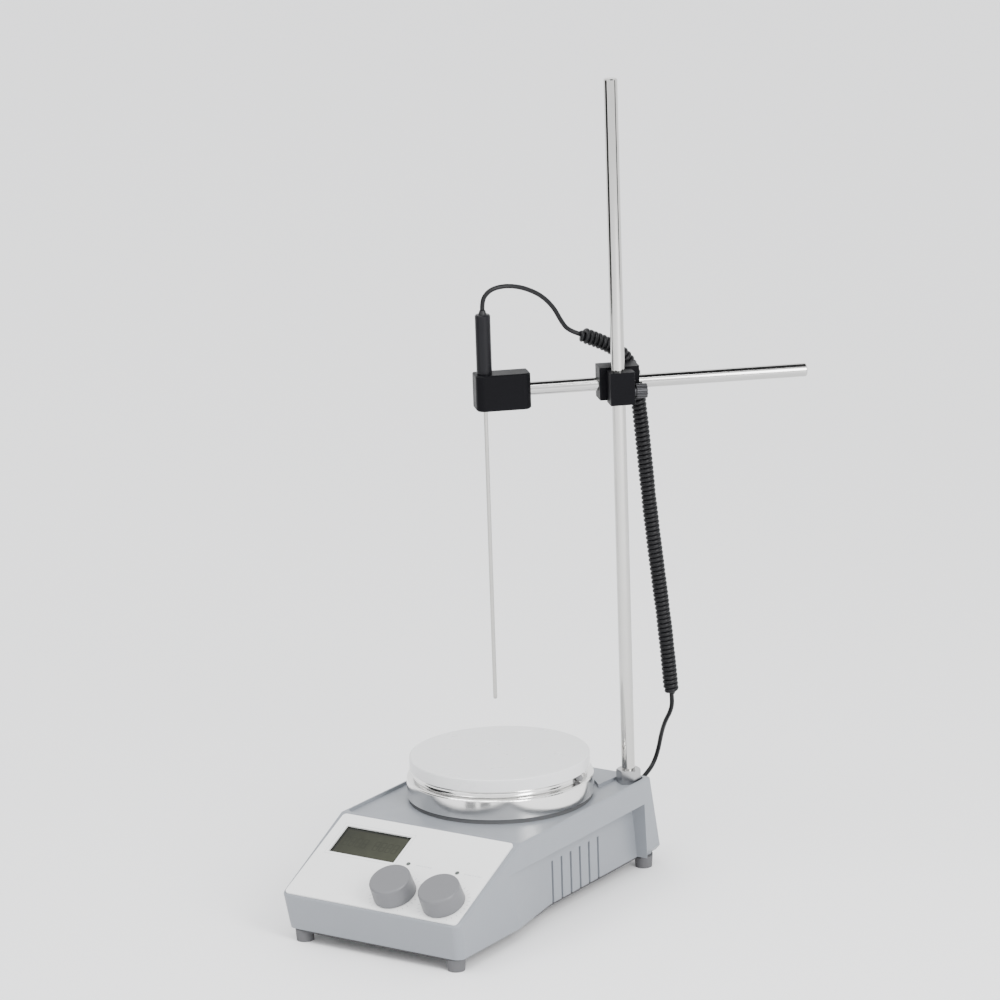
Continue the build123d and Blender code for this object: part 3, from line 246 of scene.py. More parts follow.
@dataclass(frozen=True)
class Moulded:
    """A painted or moulded surface: fine grain, slow drift of tone and roughness, a little dust.

    grain is the size of its grain and depth the height, in metres; drift is the share by which tone wanders.
    """

    name: str
    colour: Colour
    roughness: float
    grain: float = 0.0007
    depth: float = 0.00003
    drift: float = 0.05
    specular: float = 0.5
    coat: float = 0.0
    metallic: float = 0.0
    coat_roughness: float = 0.2
    cloud_share: float = 0.7
    wear: float = 0.16

    def base(self, paint: Paint) -> Value:
        """Base colour with its drift and specks.

        Args:
            paint: the material's node tree.

        Returns:
            The colour.
        """
        speck = paint.noise(1.0 / self.grain, 2.0)
        mask = paint.clamp(paint.noise(TONE_CLOUDS) * self.cloud_share + speck * (1 - self.cloud_share))
        return paint.blend(mask, shade(self.colour, 1 - self.drift), shade(self.colour, 1 + self.drift))

    def material(self) -> bpy.types.Material:
        """Build the material."""
        paint = Paint(self.name)
        worn = paint.noise(WEAR_CLOUDS, 4.0)
        grain = paint.noise(1.0 / self.grain, 2.0)
        paint.set(
            Base_Color=self.base(paint),
            Roughness=paint.clamp(worn * self.wear + (self.roughness - self.wear / 2)),
            Metallic=self.metallic,
            Specular_IOR_Level=self.specular,
            Coat_Weight=self.coat,
            Coat_Roughness=self.coat_roughness,
        )
        paint.bump(grain, self.depth)
        return paint.material


class Lay(Enum):
    """Way that the fine scratches of a worked metal run."""

    ROUND_AXIS = "round the stirring axis"
    UPRIGHT = "along Z"
    ARM = "along the cross rod"
    NONE = "no way"


@dataclass(frozen=True)
class Metal:
    """A worked metal: scratches along its lay, with faint smears.

    line is the width of a scratch and depth its height, in metres.
    """

    name: str
    colour: Colour
    roughness: float
    lay: Lay = Lay.NONE
    line: float = 0.0004
    depth: float = 0.000006
    smear: float = 0.08
    stretch: float = 0.03
    turns_scale: float = 6.0
    dull: float = 0.9
    bright: float = 1.06

    def pattern(self, paint: Paint) -> Value:
        """Scratches: noise that is squeezed across the lay and drawn out along it."""
        x, y, z = paint.axes()
        fine = 1.0 / self.line
        if self.lay is Lay.ROUND_AXIS:
            where = paint.vector(x.hypot(y) * fine, y.angle(x) * self.turns_scale, z * fine)
        elif self.lay is Lay.UPRIGHT:
            where = paint.vector(x * fine, y * fine, z * (fine * self.stretch))
        elif self.lay is Lay.ARM:
            along = x * ARM_DIRECTION[0] + y * ARM_DIRECTION[1]
            across = y * ARM_DIRECTION[0] - x * ARM_DIRECTION[1]
            where = paint.vector(along * (fine * self.stretch), across * fine, z * fine)
        else:
            where = paint.vector(x * fine, y * fine, z * fine)
        return paint.noise(1.0, 3.0, where)

    def material(self) -> bpy.types.Material:
        """Build the material."""
        paint = Paint(self.name)
        scratch = self.pattern(paint)
        smear = paint.noise(SMEAR_CLOUDS, 4.0)
        tone = paint.clamp(scratch * 0.5 + smear * 0.5)
        paint.set(
            Base_Color=paint.blend(tone, shade(self.colour, self.dull), shade(self.colour, self.bright)),
            Roughness=paint.clamp(smear * self.smear + scratch * self.smear + (self.roughness - self.smear)),
            Metallic=1.0,
        )
        paint.bump(scratch, self.depth)
        return paint.material


@dataclass(frozen=True)
class ControlPrint(Moulded):
    """White control face with printed scale marks round the dials and a fine frame line.

    Places on the face are (u, s): u along X, s up the slope from its front edge.
    """

    dials: tuple[tuple[float, float], ...] = ((0.012, 0.0203), (0.0543, 0.0203))
    lamps: tuple[tuple[float, float], ...] = ((0.0053, 0.0507), (0.0479, 0.0507))
    ink: Colour = (0.33, 0.35, 0.38)
    scale_in: float = 0.0180
    scale_out: float = 0.0198
    scale_marks: int = 30
    mark_width: float = 0.0006
    gap_angle: float = 0.62
    dash: tuple[float, float, float] = (0.0135, 0.0075, 0.0011)
    gap_edge: float = 0.05
    edge: float = 0.0003
    lcd_centre: tuple[float, float] = (-0.036, 0.063)
    lcd_frame: tuple[float, float] = (0.0315, 0.0165)
    letter_scale: float = 900.0
    letter_cut: float = 0.46
    letter_edge: float = 0.04
    letter_ink: float = 0.6
    frame_ink: float = 0.5
    ink_strength: float = 0.62
    polish_clouds: float = 60.0
    polish: float = 0.12

    def material(self) -> bpy.types.Material:
        """Build the material: each scale is a ring, cut into short strokes by angle modulo the step."""
        paint = Paint(self.name)
        x, s = paint.axes()[0], paint.up_panel()
        ink: Value | float = 0.0
        step = 2 * math.pi / self.scale_marks
        for u0, s0 in self.dials:
            du, ds = x - u0, s - s0
            radius = du.hypot(ds)
            turn = ds.angle(du) + math.pi / 2
            ring = radius.below(self.scale_out, self.edge) * (1 - radius.below(self.scale_in, self.edge))
            spoke = abs((turn + step / 2) % step - step / 2) * radius
            stroke = spoke.below(self.mark_width / 2, self.edge)
            foot = abs((turn + math.pi) % (2 * math.pi) - math.pi)
            ink = ring * stroke * (1 - foot.below(self.gap_angle, self.gap_edge)) + ink
        for u0, s0 in self.lamps:
            shift, half, thick = self.dash
            bar = abs(x - (u0 + shift)).below(half, self.edge) * abs(s - s0).below(thick / 2, self.edge)
            word = paint.noise(self.letter_scale, 1.0, paint.vector(x, 0.0, 0.0))
            ink = bar * (1 - word.below(self.letter_cut, self.letter_edge)) * self.letter_ink + ink
        half_u, half_s = self.lcd_frame
        du, ds = abs(x - self.lcd_centre[0]), abs(s - self.lcd_centre[1])
        inside = du.below(half_u, self.edge) * ds.below(half_s, self.edge)
        inner = du.below(half_u - self.mark_width, self.edge) * ds.below(half_s - self.mark_width, self.edge)
        ink = (inside - inner) * self.frame_ink + ink
        grain = paint.noise(1.0 / self.grain, 2.0)
        polished = paint.noise(self.polish_clouds) * self.polish
        paint.set(
            Base_Color=paint.blend(paint.clamp(ink * self.ink_strength), self.base(paint), self.ink),
            Roughness=paint.clamp(polished + (self.roughness - self.polish / 2)),
            Specular_IOR_Level=self.specular,
        )
        paint.bump(grain, self.depth)
        return paint.material


@dataclass(frozen=True)
class DisplayGlass:
    """Dark window of the display: smoked glass over two groups of unlit digits.

    Places on the glass are measured from its centre: across along X, up along the slope.
    """

    name: str = "display_glass"
    # dark and light are the ends of the tone, whose fall to the left and the top is painted shade; shadow is
    # the painted shadow of the frame on the rim.
    dark: Colour = (0.013, 0.014, 0.009)
    light: Colour = (0.034, 0.036, 0.023)
    shadow: Colour = (0.007, 0.0075, 0.005)
    centre: tuple[float, float] = (-0.036, 0.063)
    half: tuple[float, float] = (0.0279, 0.0137)
    rim: float = 0.0009
    digit_pitch: float = 0.0055
    group: tuple[float, float] = (0.0025, 0.0245)
    digit_half: tuple[float, float] = (0.0018, 0.0044)
    stroke: float = 0.0008
    edge: float = 0.0003
    painted_shade_across: float = 11.0
    painted_shade_up: float = 16.0
    tone_level: float = 0.3
    tone_clouds: float = 120.0
    tone_cloud_share: float = 0.5
    digit_ink: float = 0.45
    left_rim: float = 1.6
    top_rim: float = 2.0
    roughness: float = 0.12
    specular: float = 0.16
    smear: float = 0.1
    smear_clouds: float = 45.0
    smear_depth: float = 0.00002

    def digits(self, across: Value, up: Value) -> Value:
        """Seven-bar digits, repeated along each half of the glass.

        Args:
            across: place along X from the centre.
            up: place up the slope from the centre.

        Returns:
            1 on a bar and 0 off it.
        """
        near, far = self.group
        wide, tall = self.digit_half
        local = abs((abs(across) - near) % self.digit_pitch - self.digit_pitch / 2)
        level = abs(up)
        upright = abs(local - wide).below(self.stroke / 2, self.edge) * level.below(tall, self.edge)
        bars = abs(level - tall).below(self.stroke / 2, self.edge) + level.below(self.stroke / 2, self.edge)
        flat = bars * local.below(wide - self.stroke / 2, self.edge)
        inside = abs(across).below(far, self.edge) * (1 - abs(across).below(near, self.edge))
        return across.paint.clamp(upright + flat) * inside

    def material(self) -> bpy.types.Material:
        """Build the material: painted shade darkens the glass to the left and the top, and a painted shadow
        of the frame lies on the top and left rim.
        """
        paint = Paint(self.name)
        across = paint.axes()[0] - self.centre[0]
        up = paint.up_panel() - self.centre[1]
        cloud = paint.noise(self.tone_clouds, 1.0) * self.tone_cloud_share
        # Painted shade: the glass is darker towards the left and the top, where the recess would shade it;
        # the cloud is random tone.
        tone = paint.clamp(across * self.painted_shade_across - up * self.painted_shade_up + cloud + self.tone_level)
        glass = paint.blend(tone, self.dark, self.light)
        ghost = paint.blend(self.digits(across, up) * self.digit_ink, glass, self.dark)
        # Painted shadow of the frame along the left and top rim.
        open_left = (across * -1.0).below(self.half[0] - self.rim * self.left_rim, self.rim)
        open_top = up.below(self.half[1] - self.rim * self.top_rim, self.rim)
        smear = paint.noise(self.smear_clouds)
        paint.set(
            Base_Color=paint.blend(open_left * open_top, self.shadow, ghost),
            Roughness=paint.clamp(smear * self.smear + self.roughness),
            Specular_IOR_Level=self.specular,
        )
        paint.bump(smear, self.smear_depth)
        return paint.material


@dataclass(frozen=True)
class Laminated(Moulded):
    """Stacked steel sheets or a wound coil seen from its side: fine level lines."""

    pitch: float = 0.0007
    gap: float = 0.12
    gap_edge: float = 0.1
    gap_shade: float = 0.5
    edge_wear: float = 0.3

    def material(self) -> bpy.types.Material:
        """Build the material: height is a saw of z modulo the sheet's thickness."""
        paint = Paint(self.name)
        z = paint.axes()[2]
        sheet = abs((z % self.pitch) / self.pitch - 0.5)
        paint.set(
            Base_Color=paint.blend(
                sheet.below(self.gap, self.gap_edge), self.base(paint), shade(self.colour, self.gap_shade),
            ),
            Roughness=paint.clamp(sheet * self.edge_wear + self.roughness),
            Metallic=self.metallic,
        )
        paint.bump(sheet, self.depth)
        return paint.material


@dataclass(frozen=True)
class CircuitBoard:
    """Green board with copper tracks under its varnish."""

    name: str = "circuit_board"
    varnish: Colour = (0.02, 0.16, 0.07)
    track: Colour = (0.06, 0.30, 0.13)
    pitch: float = 0.0025
    track_half: float = 0.16
    track_edge: float = 0.05
    patch_scale: float = 60.0
    patch_edge: float = 0.02
    track_height: float = 0.00004

    def material(self) -> bpy.types.Material:
        """Build the material: tracks are stripes along X or Y, picked by large square cells of noise."""
        paint = Paint(self.name)
        x, y, _ = paint.axes()
        along_x = abs((y % self.pitch) / self.pitch - 0.5).below(self.track_half, self.track_edge)
        along_y = abs((x % self.pitch) / self.pitch - 0.5).below(self.track_half, self.track_edge)
        pick = 1 - paint.noise(self.patch_scale, 0.0).below(0.5, self.patch_edge)
        tracks = along_x * pick + along_y * (1 - pick)
        paint.set(
            Base_Color=paint.blend(tracks, self.varnish, self.track),
            Roughness=paint.clamp(tracks * 0.1 + 0.3),
            Coat_Weight=0.3,
        )
        paint.bump(tracks, self.track_height)
        return paint.material


@dataclass(frozen=True)
class SwitchFace(Moulded):
    """Black rocker with its two usual marks, a bar and a ring, in white."""

    centre_z: float = 0.0386
    mark_z: float = 0.0049
    ring: float = 0.0015
    line: float = 0.00045
    white: Colour = (0.8, 0.8, 0.8)
    face_y: float = 0.0955
    face_edge: float = 0.0002
    edge: float = 0.0001
    bar_rise: float = 0.0006
    ring_rise: float = 0.0018
    polish_clouds: float = 80.0
    polish: float = 0.12

    def material(self) -> bpy.types.Material:
        """Build the material: the bar is a box in x and z, the ring a band of radius."""
        paint = Paint(self.name)
        x, y, z = paint.axes()
        facing = 1 - y.below(self.face_y, self.face_edge)
        high = z - (self.centre_z + self.mark_z + self.bar_rise)
        low = z - (self.centre_z - self.mark_z + self.ring_rise)
        bar = abs(x).below(self.line / 2 + self.edge, self.edge) * abs(high).below(self.ring, self.edge)
        ring = abs(x.hypot(low) - self.ring).below(self.line / 2, self.edge)
        mark = paint.clamp((bar + ring) * facing)
        paint.set(
            Base_Color=paint.blend(mark, self.base(paint), self.white),
            Roughness=paint.clamp(paint.noise(self.polish_clouds) * self.polish + self.roughness),
        )
        paint.bump(paint.noise(1.0 / self.grain, 2.0), self.depth)
        return paint.material


POWDER_COAT = Moulded("powder_coat", (0.21, 0.224, 0.246), 0.42, grain=0.0011, depth=0.00006, drift=0.035)
CONTROL_PRINT = ControlPrint(
    "control_print", (0.8, 0.805, 0.8), 0.42, grain=0.0005, depth=0.00001, drift=0.015,
)
DIAL_GREY = Moulded("dial_grey", (0.125, 0.127, 0.135), 0.4, grain=0.0005, depth=0.00002, drift=0.05)
LAMP = Moulded("lamp_lens", (0.035, 0.045, 0.04), 0.18, grain=0.0004, depth=0.000005, coat=0.6)
CERAMIC = Moulded(
    "white_ceramic", (0.68, 0.685, 0.69), 0.3, grain=0.0006, depth=0.000008, drift=0.012, coat=0.25,
)
RUBBER = Moulded("foot_rubber", (0.1, 0.1, 0.105), 0.7, grain=0.0005, depth=0.00004, drift=0.2, specular=0.3)
BASE_COAT = Moulded("base_coat", (0.03, 0.03, 0.033), 0.55, grain=0.0009, depth=0.00005, drift=0.15)
CAST_BLACK = Moulded(
    "cast_black", (0.003, 0.003, 0.004), 0.42, grain=0.0009, depth=0.00008, drift=0.25, specular=0.06,
)
HANDLE_BLACK = Moulded(
    "handle_black", (0.006, 0.006, 0.0075), 0.36, grain=0.0005, depth=0.00002, drift=0.25, specular=0.15,
)
MOULDED_BLACK = Moulded(
    "moulded_black", (0.011, 0.011, 0.012), 0.45, grain=0.0006, depth=0.00003, drift=0.2, specular=0.3,
)
CABLE = Moulded(
    "cable_sheath", (0.006, 0.006, 0.007), 0.38, grain=0.0004, depth=0.00002, drift=0.25, specular=0.2,
)
SWITCH = SwitchFace("switch_face", (0.025, 0.025, 0.028), 0.22, grain=0.0006, depth=0.00001, drift=0.15)
NUB_GREY = Moulded("nub_grey", (0.14, 0.14, 0.147), 0.45, grain=0.0004, depth=0.00001)
FIBRE = Moulded(
    "pressed_fibre", (0.62, 0.6, 0.54), 0.9, grain=0.0012, depth=0.0002, drift=0.12, specular=0.2,
)
COIL_STEEL = Laminated("laminations", (0.22, 0.2, 0.18), 0.5, metallic=0.8, depth=0.0001)
POLISHED_RING = Metal("polished_ring", (0.8, 0.795, 0.78), 0.15, Lay.ROUND_AXIS, smear=0.05)
ROD_CHROME = Metal("rod_chrome", (0.52, 0.515, 0.5), 0.1, Lay.UPRIGHT, smear=0.05)
ARM_CHROME = Metal("arm_chrome", (0.46, 0.457, 0.45), 0.12, Lay.ARM, smear=0.05)
STEM_STEEL = Metal("stem_steel", (0.44, 0.435, 0.42), 0.24, Lay.UPRIGHT)
NUT_PLATE = Metal("nut_plating", (0.38, 0.38, 0.385), 0.22, smear=0.1)
PLAIN_STEEL = Metal("plain_steel", (0.55, 0.55, 0.57), 0.32, smear=0.1, depth=0.00001)
ALUMINIUM = Metal("bare_aluminium", (0.75, 0.75, 0.77), 0.38, smear=0.12, depth=0.00001)
MAGNET = Metal("magnet_nickel", (0.45, 0.45, 0.47), 0.22)
BRASS = Metal("pin_brass", (0.75, 0.58, 0.28), 0.25)
SHAFT_STEEL = Metal("shaft_steel", (0.6, 0.6, 0.61), 0.25)
SPUN_STEEL = Metal("spun_steel", (0.6, 0.6, 0.62), 0.3, Lay.ROUND_AXIS)
GROUND_STEEL = Metal("ground_steel", (0.62, 0.62, 0.64), 0.2, Lay.ROUND_AXIS)
MOTOR_SHELL = Metal("motor_shell", (0.35, 0.36, 0.38), 0.4, Lay.ROUND_AXIS)
CARRIER_ALLOY = Metal("carrier_alloy", (0.72, 0.72, 0.74), 0.35)
SINK_ALLOY = Metal("sink_alloy", (0.5, 0.5, 0.52), 0.45)
SOCKET_NICKEL = Metal("socket_nickel", (0.62, 0.61, 0.58), 0.25)
BLACKENED_STEEL = Metal("blackened_steel", (0.05, 0.05, 0.053), 0.4, depth=0.00001)
GASKET_RUBBER = Moulded("gasket_rubber", (0.075, 0.077, 0.08), 0.7, grain=0.0008, depth=0.00004)
INLET_BLACK = Moulded("inlet_black", (0.022, 0.022, 0.024), 0.5, grain=0.0007, depth=0.00004, drift=0.2)


@lru_cache(maxsize=None)
def made(finish: Finish) -> bpy.types.Material:
    """Build a finish once, however many pieces wear it."""
    return finish.material()


def dress(finish: Finish, names: Iterable[str]) -> None:
    """Give frame nodes a finish.

    Args:
        finish: the finish for every slot.
        names: the nodes.
    """
    material = made(finish)
    for name in names:
        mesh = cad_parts[name].data
        mesh.materials.clear()
        mesh.materials.append(material)
        mesh.polygons.foreach_set("material_index", np.zeros(len(mesh.polygons), np.int32))
        LOG.info("dressed %s in %s", name, material.name)


# ---------------- surfaces


def grid_mesh(name: str, rings: np.ndarray, material: bpy.types.Material) -> bpy.types.Object:
    """Closed tube from a grid of points: ring i is joined to ring i + 1, and a fan closes each end.

    Args:
        name: the piece's name.
        rings: points as an array (rings, points to a ring, 3); each ring turns anticlockwise about the
            direction from ring to ring.
        material: its material.

    Returns:
        The piece, in place, at the origin.
    """
    count, around = rings.shape[:2]
    index = np.arange(count * around).reshape(count, around)
    here, ahead = index[:-1], index[1:]
    quads = np.stack([here, np.roll(here, -1, 1), np.roll(ahead, -1, 1), ahead], -1).reshape(-1, 4)
    ends = rings[[0, -1]].mean(1)
    low, high = count * around, count * around + 1
    first, last = index[0], index[-1]
    low_fan = np.stack([np.full(around, low), np.roll(first, -1), first], -1)
    high_fan = np.stack([np.full(around, high), last, np.roll(last, -1)], -1)
    points = np.concatenate([rings.reshape(-1, 3), ends])
    mesh = bpy.data.meshes.new(name)
    mesh.from_pydata(points.tolist(), [], quads.tolist() + low_fan.tolist() + high_fan.tolist())
    mesh.polygons.foreach_set("use_smooth", np.ones(len(mesh.polygons), bool))
    mesh.materials.append(material)
    piece = bpy.data.objects.new(name, mesh)
    bpy.context.scene.collection.objects.link(piece)
    return piece


def lathe(profile: np.ndarray, origin: Point, axis: Point, around: int) -> np.ndarray:
    """Rings of a turned piece: origin + h * axis + r * (side * cos a + up * sin a).

    Args:
        profile: (r, h) pairs from its foot to its tip.
        origin: where h is 0.
        axis: unit direction of h.
        around: points to a ring.

    Returns:
        The grid of points.
    """
    along = np.array(axis)
    side = np.cross(along, (0.0, 0.0, 1.0) if abs(axis[2]) < 0.9 else (1.0, 0.0, 0.0))
    side /= np.linalg.norm(side)
    up = np.cross(along, side)
    turn = np.linspace(0, 2 * math.pi, around, endpoint=False)[None, :, None]
    radius, height = profile[:, 0, None, None], profile[:, 1, None, None]
    return np.array(origin) + height * along + radius * (side * np.cos(turn) + up * np.sin(turn))


def path_of(name: str, route: Sequence[Point]) -> np.ndarray:
    """Points along a smooth NURBS curve whose control points are the route's.

    Args:
        name: name of the passing curve.
        route: control points, in metres.

    Returns:
        The points, in order.
    """
    curve = bpy.data.curves.new(name, "CURVE")
    curve.dimensions = "3D"
    curve.resolution_u = 24
    spline = curve.splines.new("NURBS")
    spline.points.add(len(route) - 1)
    for knot, spot in zip(spline.points, route):
        knot.co = (*spot, 1.0)
    spline.order_u = 3
    spline.use_endpoint_u = True
    holder = bpy.data.objects.new(name, curve)
    mesh = bpy.data.meshes.new_from_object(holder)
    points = np.empty(len(mesh.vertices) * 3)
    mesh.vertices.foreach_get("co", points)
    bpy.data.objects.remove(holder)
    bpy.data.meshes.remove(mesh)
    bpy.data.curves.remove(curve)
    return points.reshape(-1, 3)


def resample(points: np.ndarray, count: int) -> tuple[np.ndarray, np.ndarray]:
    """Even points along a path, and the length up to each.

    Args:
        points: the path.
        count: how many points.

    Returns:
        The points and their distances from the start.
    """
    steps = np.linalg.norm(np.diff(points, axis=0), axis=1)
    distance = np.concatenate([[0.0], np.cumsum(steps)])
    even = np.linspace(0, distance[-1], count)
    return np.stack([np.interp(even, distance, points[:, i]) for i in range(3)], -1), even


def directions(points: np.ndarray) -> np.ndarray:
    """Unit direction of a path at each of its points."""
    tangent = np.gradient(points, axis=0)
    return tangent / np.linalg.norm(tangent, axis=1)[:, None]


def tube_rings(centre: np.ndarray, side: np.ndarray, radius: float, around: int) -> np.ndarray:
    """Rings of a round tube: centre + radius * (side' * cos a + up * sin a), square to the path.

    Args:
        centre: points of the centre line.
        side: a vector at each point that isn't along the path.
        radius: the tube's radius.
        around: points to a ring.

    Returns:
        The grid of points.
    """
    along = directions(centre)
    across = side - (side * along).sum(1)[:, None] * along
    across /= np.linalg.norm(across, axis=1)[:, None]
    up = np.cross(along, across)
    turn = np.linspace(0, 2 * math.pi, around, endpoint=False)[None, :, None]
    return centre[:, None] + radius * (across[:, None] * np.cos(turn) + up[:, None] * np.sin(turn))


# ---------------- sub-assemblies


@dataclass
class Housing:
    """Cast shell, base plate, feet and their screws."""

    feet: tuple[str, ...] = ("foot_front_left", "foot_front_right", "foot_rear_left", "foot_rear_right")

    def dress(self) -> None:
        """Give each piece its finish."""
        dress(POWDER_COAT, ["top_housing"])
        dress(BASE_COAT, ["base_plate"])
        dress(RUBBER, self.feet)
        dress(PLAIN_STEEL, ["foot_screws", "m3_screws"])


@dataclass
class ControlFace:
    """Printed overlay, display, dials and lamps."""

    def dress(self) -> None:
        """Give each piece its finish."""
        dress(CONTROL_PRINT, ["panel_overlay"])
        dress(DisplayGlass(), ["lcd_window"])
        dress(DIAL_GREY, ["stir_knob", "heat_knob"])
        dress(LAMP, ["indicator_lamps"])
        dress(SHAFT_STEEL, ["stir_shaft", "heat_shaft", "encoders"])
        dress(MOULDED_BLACK, ["lcd_module"])
        dress(CircuitBoard(), ["display_board", "main_board"])


@dataclass
class HeatedPlate:
    """White plate, its polished ring, and what is under it."""

    def dress(self) -> None:
        """Give each piece its finish."""
        dress(CERAMIC, ["top_plate"])
        dress(POLISHED_RING, ["plate_skirt"])
        dress(NUB_GREY, ["skirt_screw"])
        dress(GASKET_RUBBER, ["plate_gasket"])
        dress(ALUMINIUM, ["heater_element"])
        dress(FIBRE, ["insulation_disc"])
        dress(SPUN_STEEL, ["heat_shield", "plate_standoffs", "plate_screws", "plate_sensor"])


@dataclass
class Drive:
    """Motor, magnets and the main board's components."""

    def dress(self) -> None:
        """Give each piece its finish."""
        dress(MOTOR_SHELL, ["motor_can", "motor_bracket"])
        dress(COIL_STEEL, ["motor_stator", "power_transformer"])
        dress(GROUND_STEEL, ["motor_rotor", "motor_bearings"])
        dress(CARRIER_ALLOY, ["magnet_carrier"])
        dress(MAGNET, ["drive_magnets"])
        dress(SINK_ALLOY, ["board_components"])


@dataclass
class ProbePlug:
    """Round plug of the probe lead: a knurled grip, a waist and a ribbed boot that tapers to the lead."""

    origin: Point = (0.044, 0.095397, 0.04551)
    axis: Point = (0.0, 0.956408, 0.292033)
    nose: tuple[float, float] = (5.4 * MM, -7.5 * MM)
    grip_foot: float = 2.2 * MM
    grip_length: float = 22.0 * MM
    grip_radius: float = 7.5 * MM
    grip_edge: float = 0.8 * MM
    nose_edge: float = 0.4 * MM
    groove_depth: float = 0.5 * MM
    groove: tuple[float, float, float, float] = (4.0 * MM, 4.5 * MM, 5.2 * MM, 5.7 * MM)
    shoulder: tuple[tuple[float, float], ...] = (
        (0.0, -3.5 * MM), (-0.24 * MM, -2.2 * MM), (-1.4 * MM, -0.6 * MM),
    )
    boot_length: float = 12.0 * MM
    boot_radii: tuple[float, float] = (4.2 * MM, 2.25 * MM)
    ribs: int = 4
    rib_depth: float = 0.45 * MM
    flutes: int = 18
    flute_depth: float = 0.28 * MM
    around: int = 144

    def build(self) -> bpy.types.Object:
        """Build the plug.

        The grip's radius is r - d * (1 - |cos(n a / 2)|) for n flutes; the boot's is a straight taper with
        ribs, r(t) - d * (0.5 - 0.5 cos(2 pi k t)).

        Returns:
            The piece.
        """
        foot, top = self.grip_foot, self.grip_foot + self.grip_length
        nose, nose_foot = self.nose
        r, edge, chamfer = self.grip_radius, self.grip_edge, 0.2 * self.grip_edge
        start, low, high, end = (foot + step for step in self.groove)
        waist = r - self.groove_depth
        body = [
            (nose - self.nose_edge, nose_foot), (nose, nose_foot + self.nose_edge), (nose, foot),
            (r - edge, foot), (r - chamfer, foot + chamfer), (r, foot + edge),
            (r, start), (waist, low), (waist, high), (r, end),
            *((r + inward, top + below) for inward, below in self.shoulder),
            (self.boot_radii[0] + self.nose_edge, top),
        ]
        t = np.linspace(0, 1, 16 * self.ribs + 1)
        taper = self.boot_radii[0] + (self.boot_radii[1] - self.boot_radii[0]) * t
        ribbed = taper - self.rib_depth * (0.5 - 0.5 * np.cos(2 * math.pi * self.ribs * t)) * (1 - 0.6 * t)
        boot = np.stack([ribbed, top + 0.01 * MM + self.boot_length * t], -1)
        profile = np.concatenate([np.array(body), boot])
        rings = lathe(profile, self.origin, self.axis, self.around)
        fluted = (profile[:, 0] >= r - 0.01 * MM) & (profile[:, 1] >= foot + 5.5 * MM)
        turn = np.linspace(0, 2 * math.pi, self.around, endpoint=False)
        cut = self.flute_depth * (1 - np.abs(np.cos(self.flutes * turn / 2)))
        centre = np.array(self.origin) + profile[:, 1, None, None] * np.array(self.axis)
        outward = (rings - centre) / profile[:, 0, None, None]
        rings -= fluted[:, None, None] * cut[None, :, None] * outward
        piece = grid_mesh("probe_plug", rings, made(MOULDED_BLACK))
        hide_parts("sensor_plug")
        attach(piece, "base")
        return piece


@dataclass
class RearFittings:
    """Mains inlet, power switch and probe socket in the rear wall."""

    def dress(self) -> None:
        """Give each piece its finish."""
        dress(INLET_BLACK, ["power_inlet", "switch_case"])
        dress(BRASS, ["inlet_pins"])
        dress(SWITCH, ["power_rocker"])
        dress(SOCKET_NICKEL, ["sensor_socket"])


@dataclass
class Stand:
    """Support rod with its chamfered hexagon nut, and the cross rod."""

    centre: tuple[float, float] = (0.068, 0.072)
    nut_foot: float = 73.6 * MM
    nut_height: float = 10.5 * MM
    apothem: float = 8.0 * MM
    bore: float = 5.0 * MM
    bevel_radius: float = 8.15 * MM
    bevel_slope: float = 0.55
    clearance: float = 0.02 * MM
    shares: tuple[float, ...] = (0.0, 0.001, 0.5, 0.97, 1.0)
    split_angle: float = math.radians(25)
    around: int = 180

    def dress(self) -> None:
        """Give each piece its finish."""
        dress(ROD_CHROME, ["support_rod"])
        dress(ARM_CHROME, ["cross_rod"])
        dress(PLAIN_STEEL, ["rod_socket"])

    def build_nut(self) -> bpy.types.Object:
        """Build the nut.

        Its wall is a hexagon, r(a) = apothem / cos(a mod 60 - 30), and each end drops by slope times how far
        r passes the bevel's circle, which rounds the six corners as a turned bevel does.

        Returns:
            The piece.
        """
        turn = np.linspace(0, 2 * math.pi, self.around, endpoint=False)
        wall = self.apothem / np.cos((turn % (math.pi / 3)) - math.pi / 6)
        share = np.array([*self.shares, *reversed(self.shares)])[:, None]
        inner = self.bore + self.clearance
        radius = inner + share * (wall[None, :] - inner)
        over = np.clip(radius - self.bevel_radius, 0, None) * self.bevel_slope
        top = np.repeat([0.0, 1.0], len(self.shares))[:, None]
        height = top * (self.nut_height - over) + (1 - top) * over
        x = self.centre[0] + radius * np.cos(turn + math.pi / 6)
        y = self.centre[1] + radius * np.sin(turn + math.pi / 6)
        rings = np.stack([x, y, self.nut_foot + height], -1)
        piece = grid_mesh("rod_lock_nut", rings, made(NUT_PLATE))
        edges = piece.modifiers.new("edges", "EDGE_SPLIT")
        edges.split_angle = self.split_angle
        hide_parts("rod_nut")
        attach(piece, "rod")
        return piece


@dataclass
class Clamps:
    """Boss head, probe holder and their four clamp screws."""

    def dress(self) -> None:
        """Give each piece its finish."""
        dress(CAST_BLACK, ["boss_head", "holder_block"])
        screws = ["boss_rod_screw", "boss_arm_screw", "holder_arm_screw", "holder_probe_screw"]
        dress(BLACKENED_STEEL, screws)


@dataclass
class Probe:
    """Probe with its handle, stem and strain relief."""

    def dress(self) -> None:
        """Give each piece its finish."""
        dress(HANDLE_BLACK, ["probe_handle"])
        dress(STEM_STEEL, ["probe_stem"])
        dress(MOULDED_BLACK, ["probe_relief"])


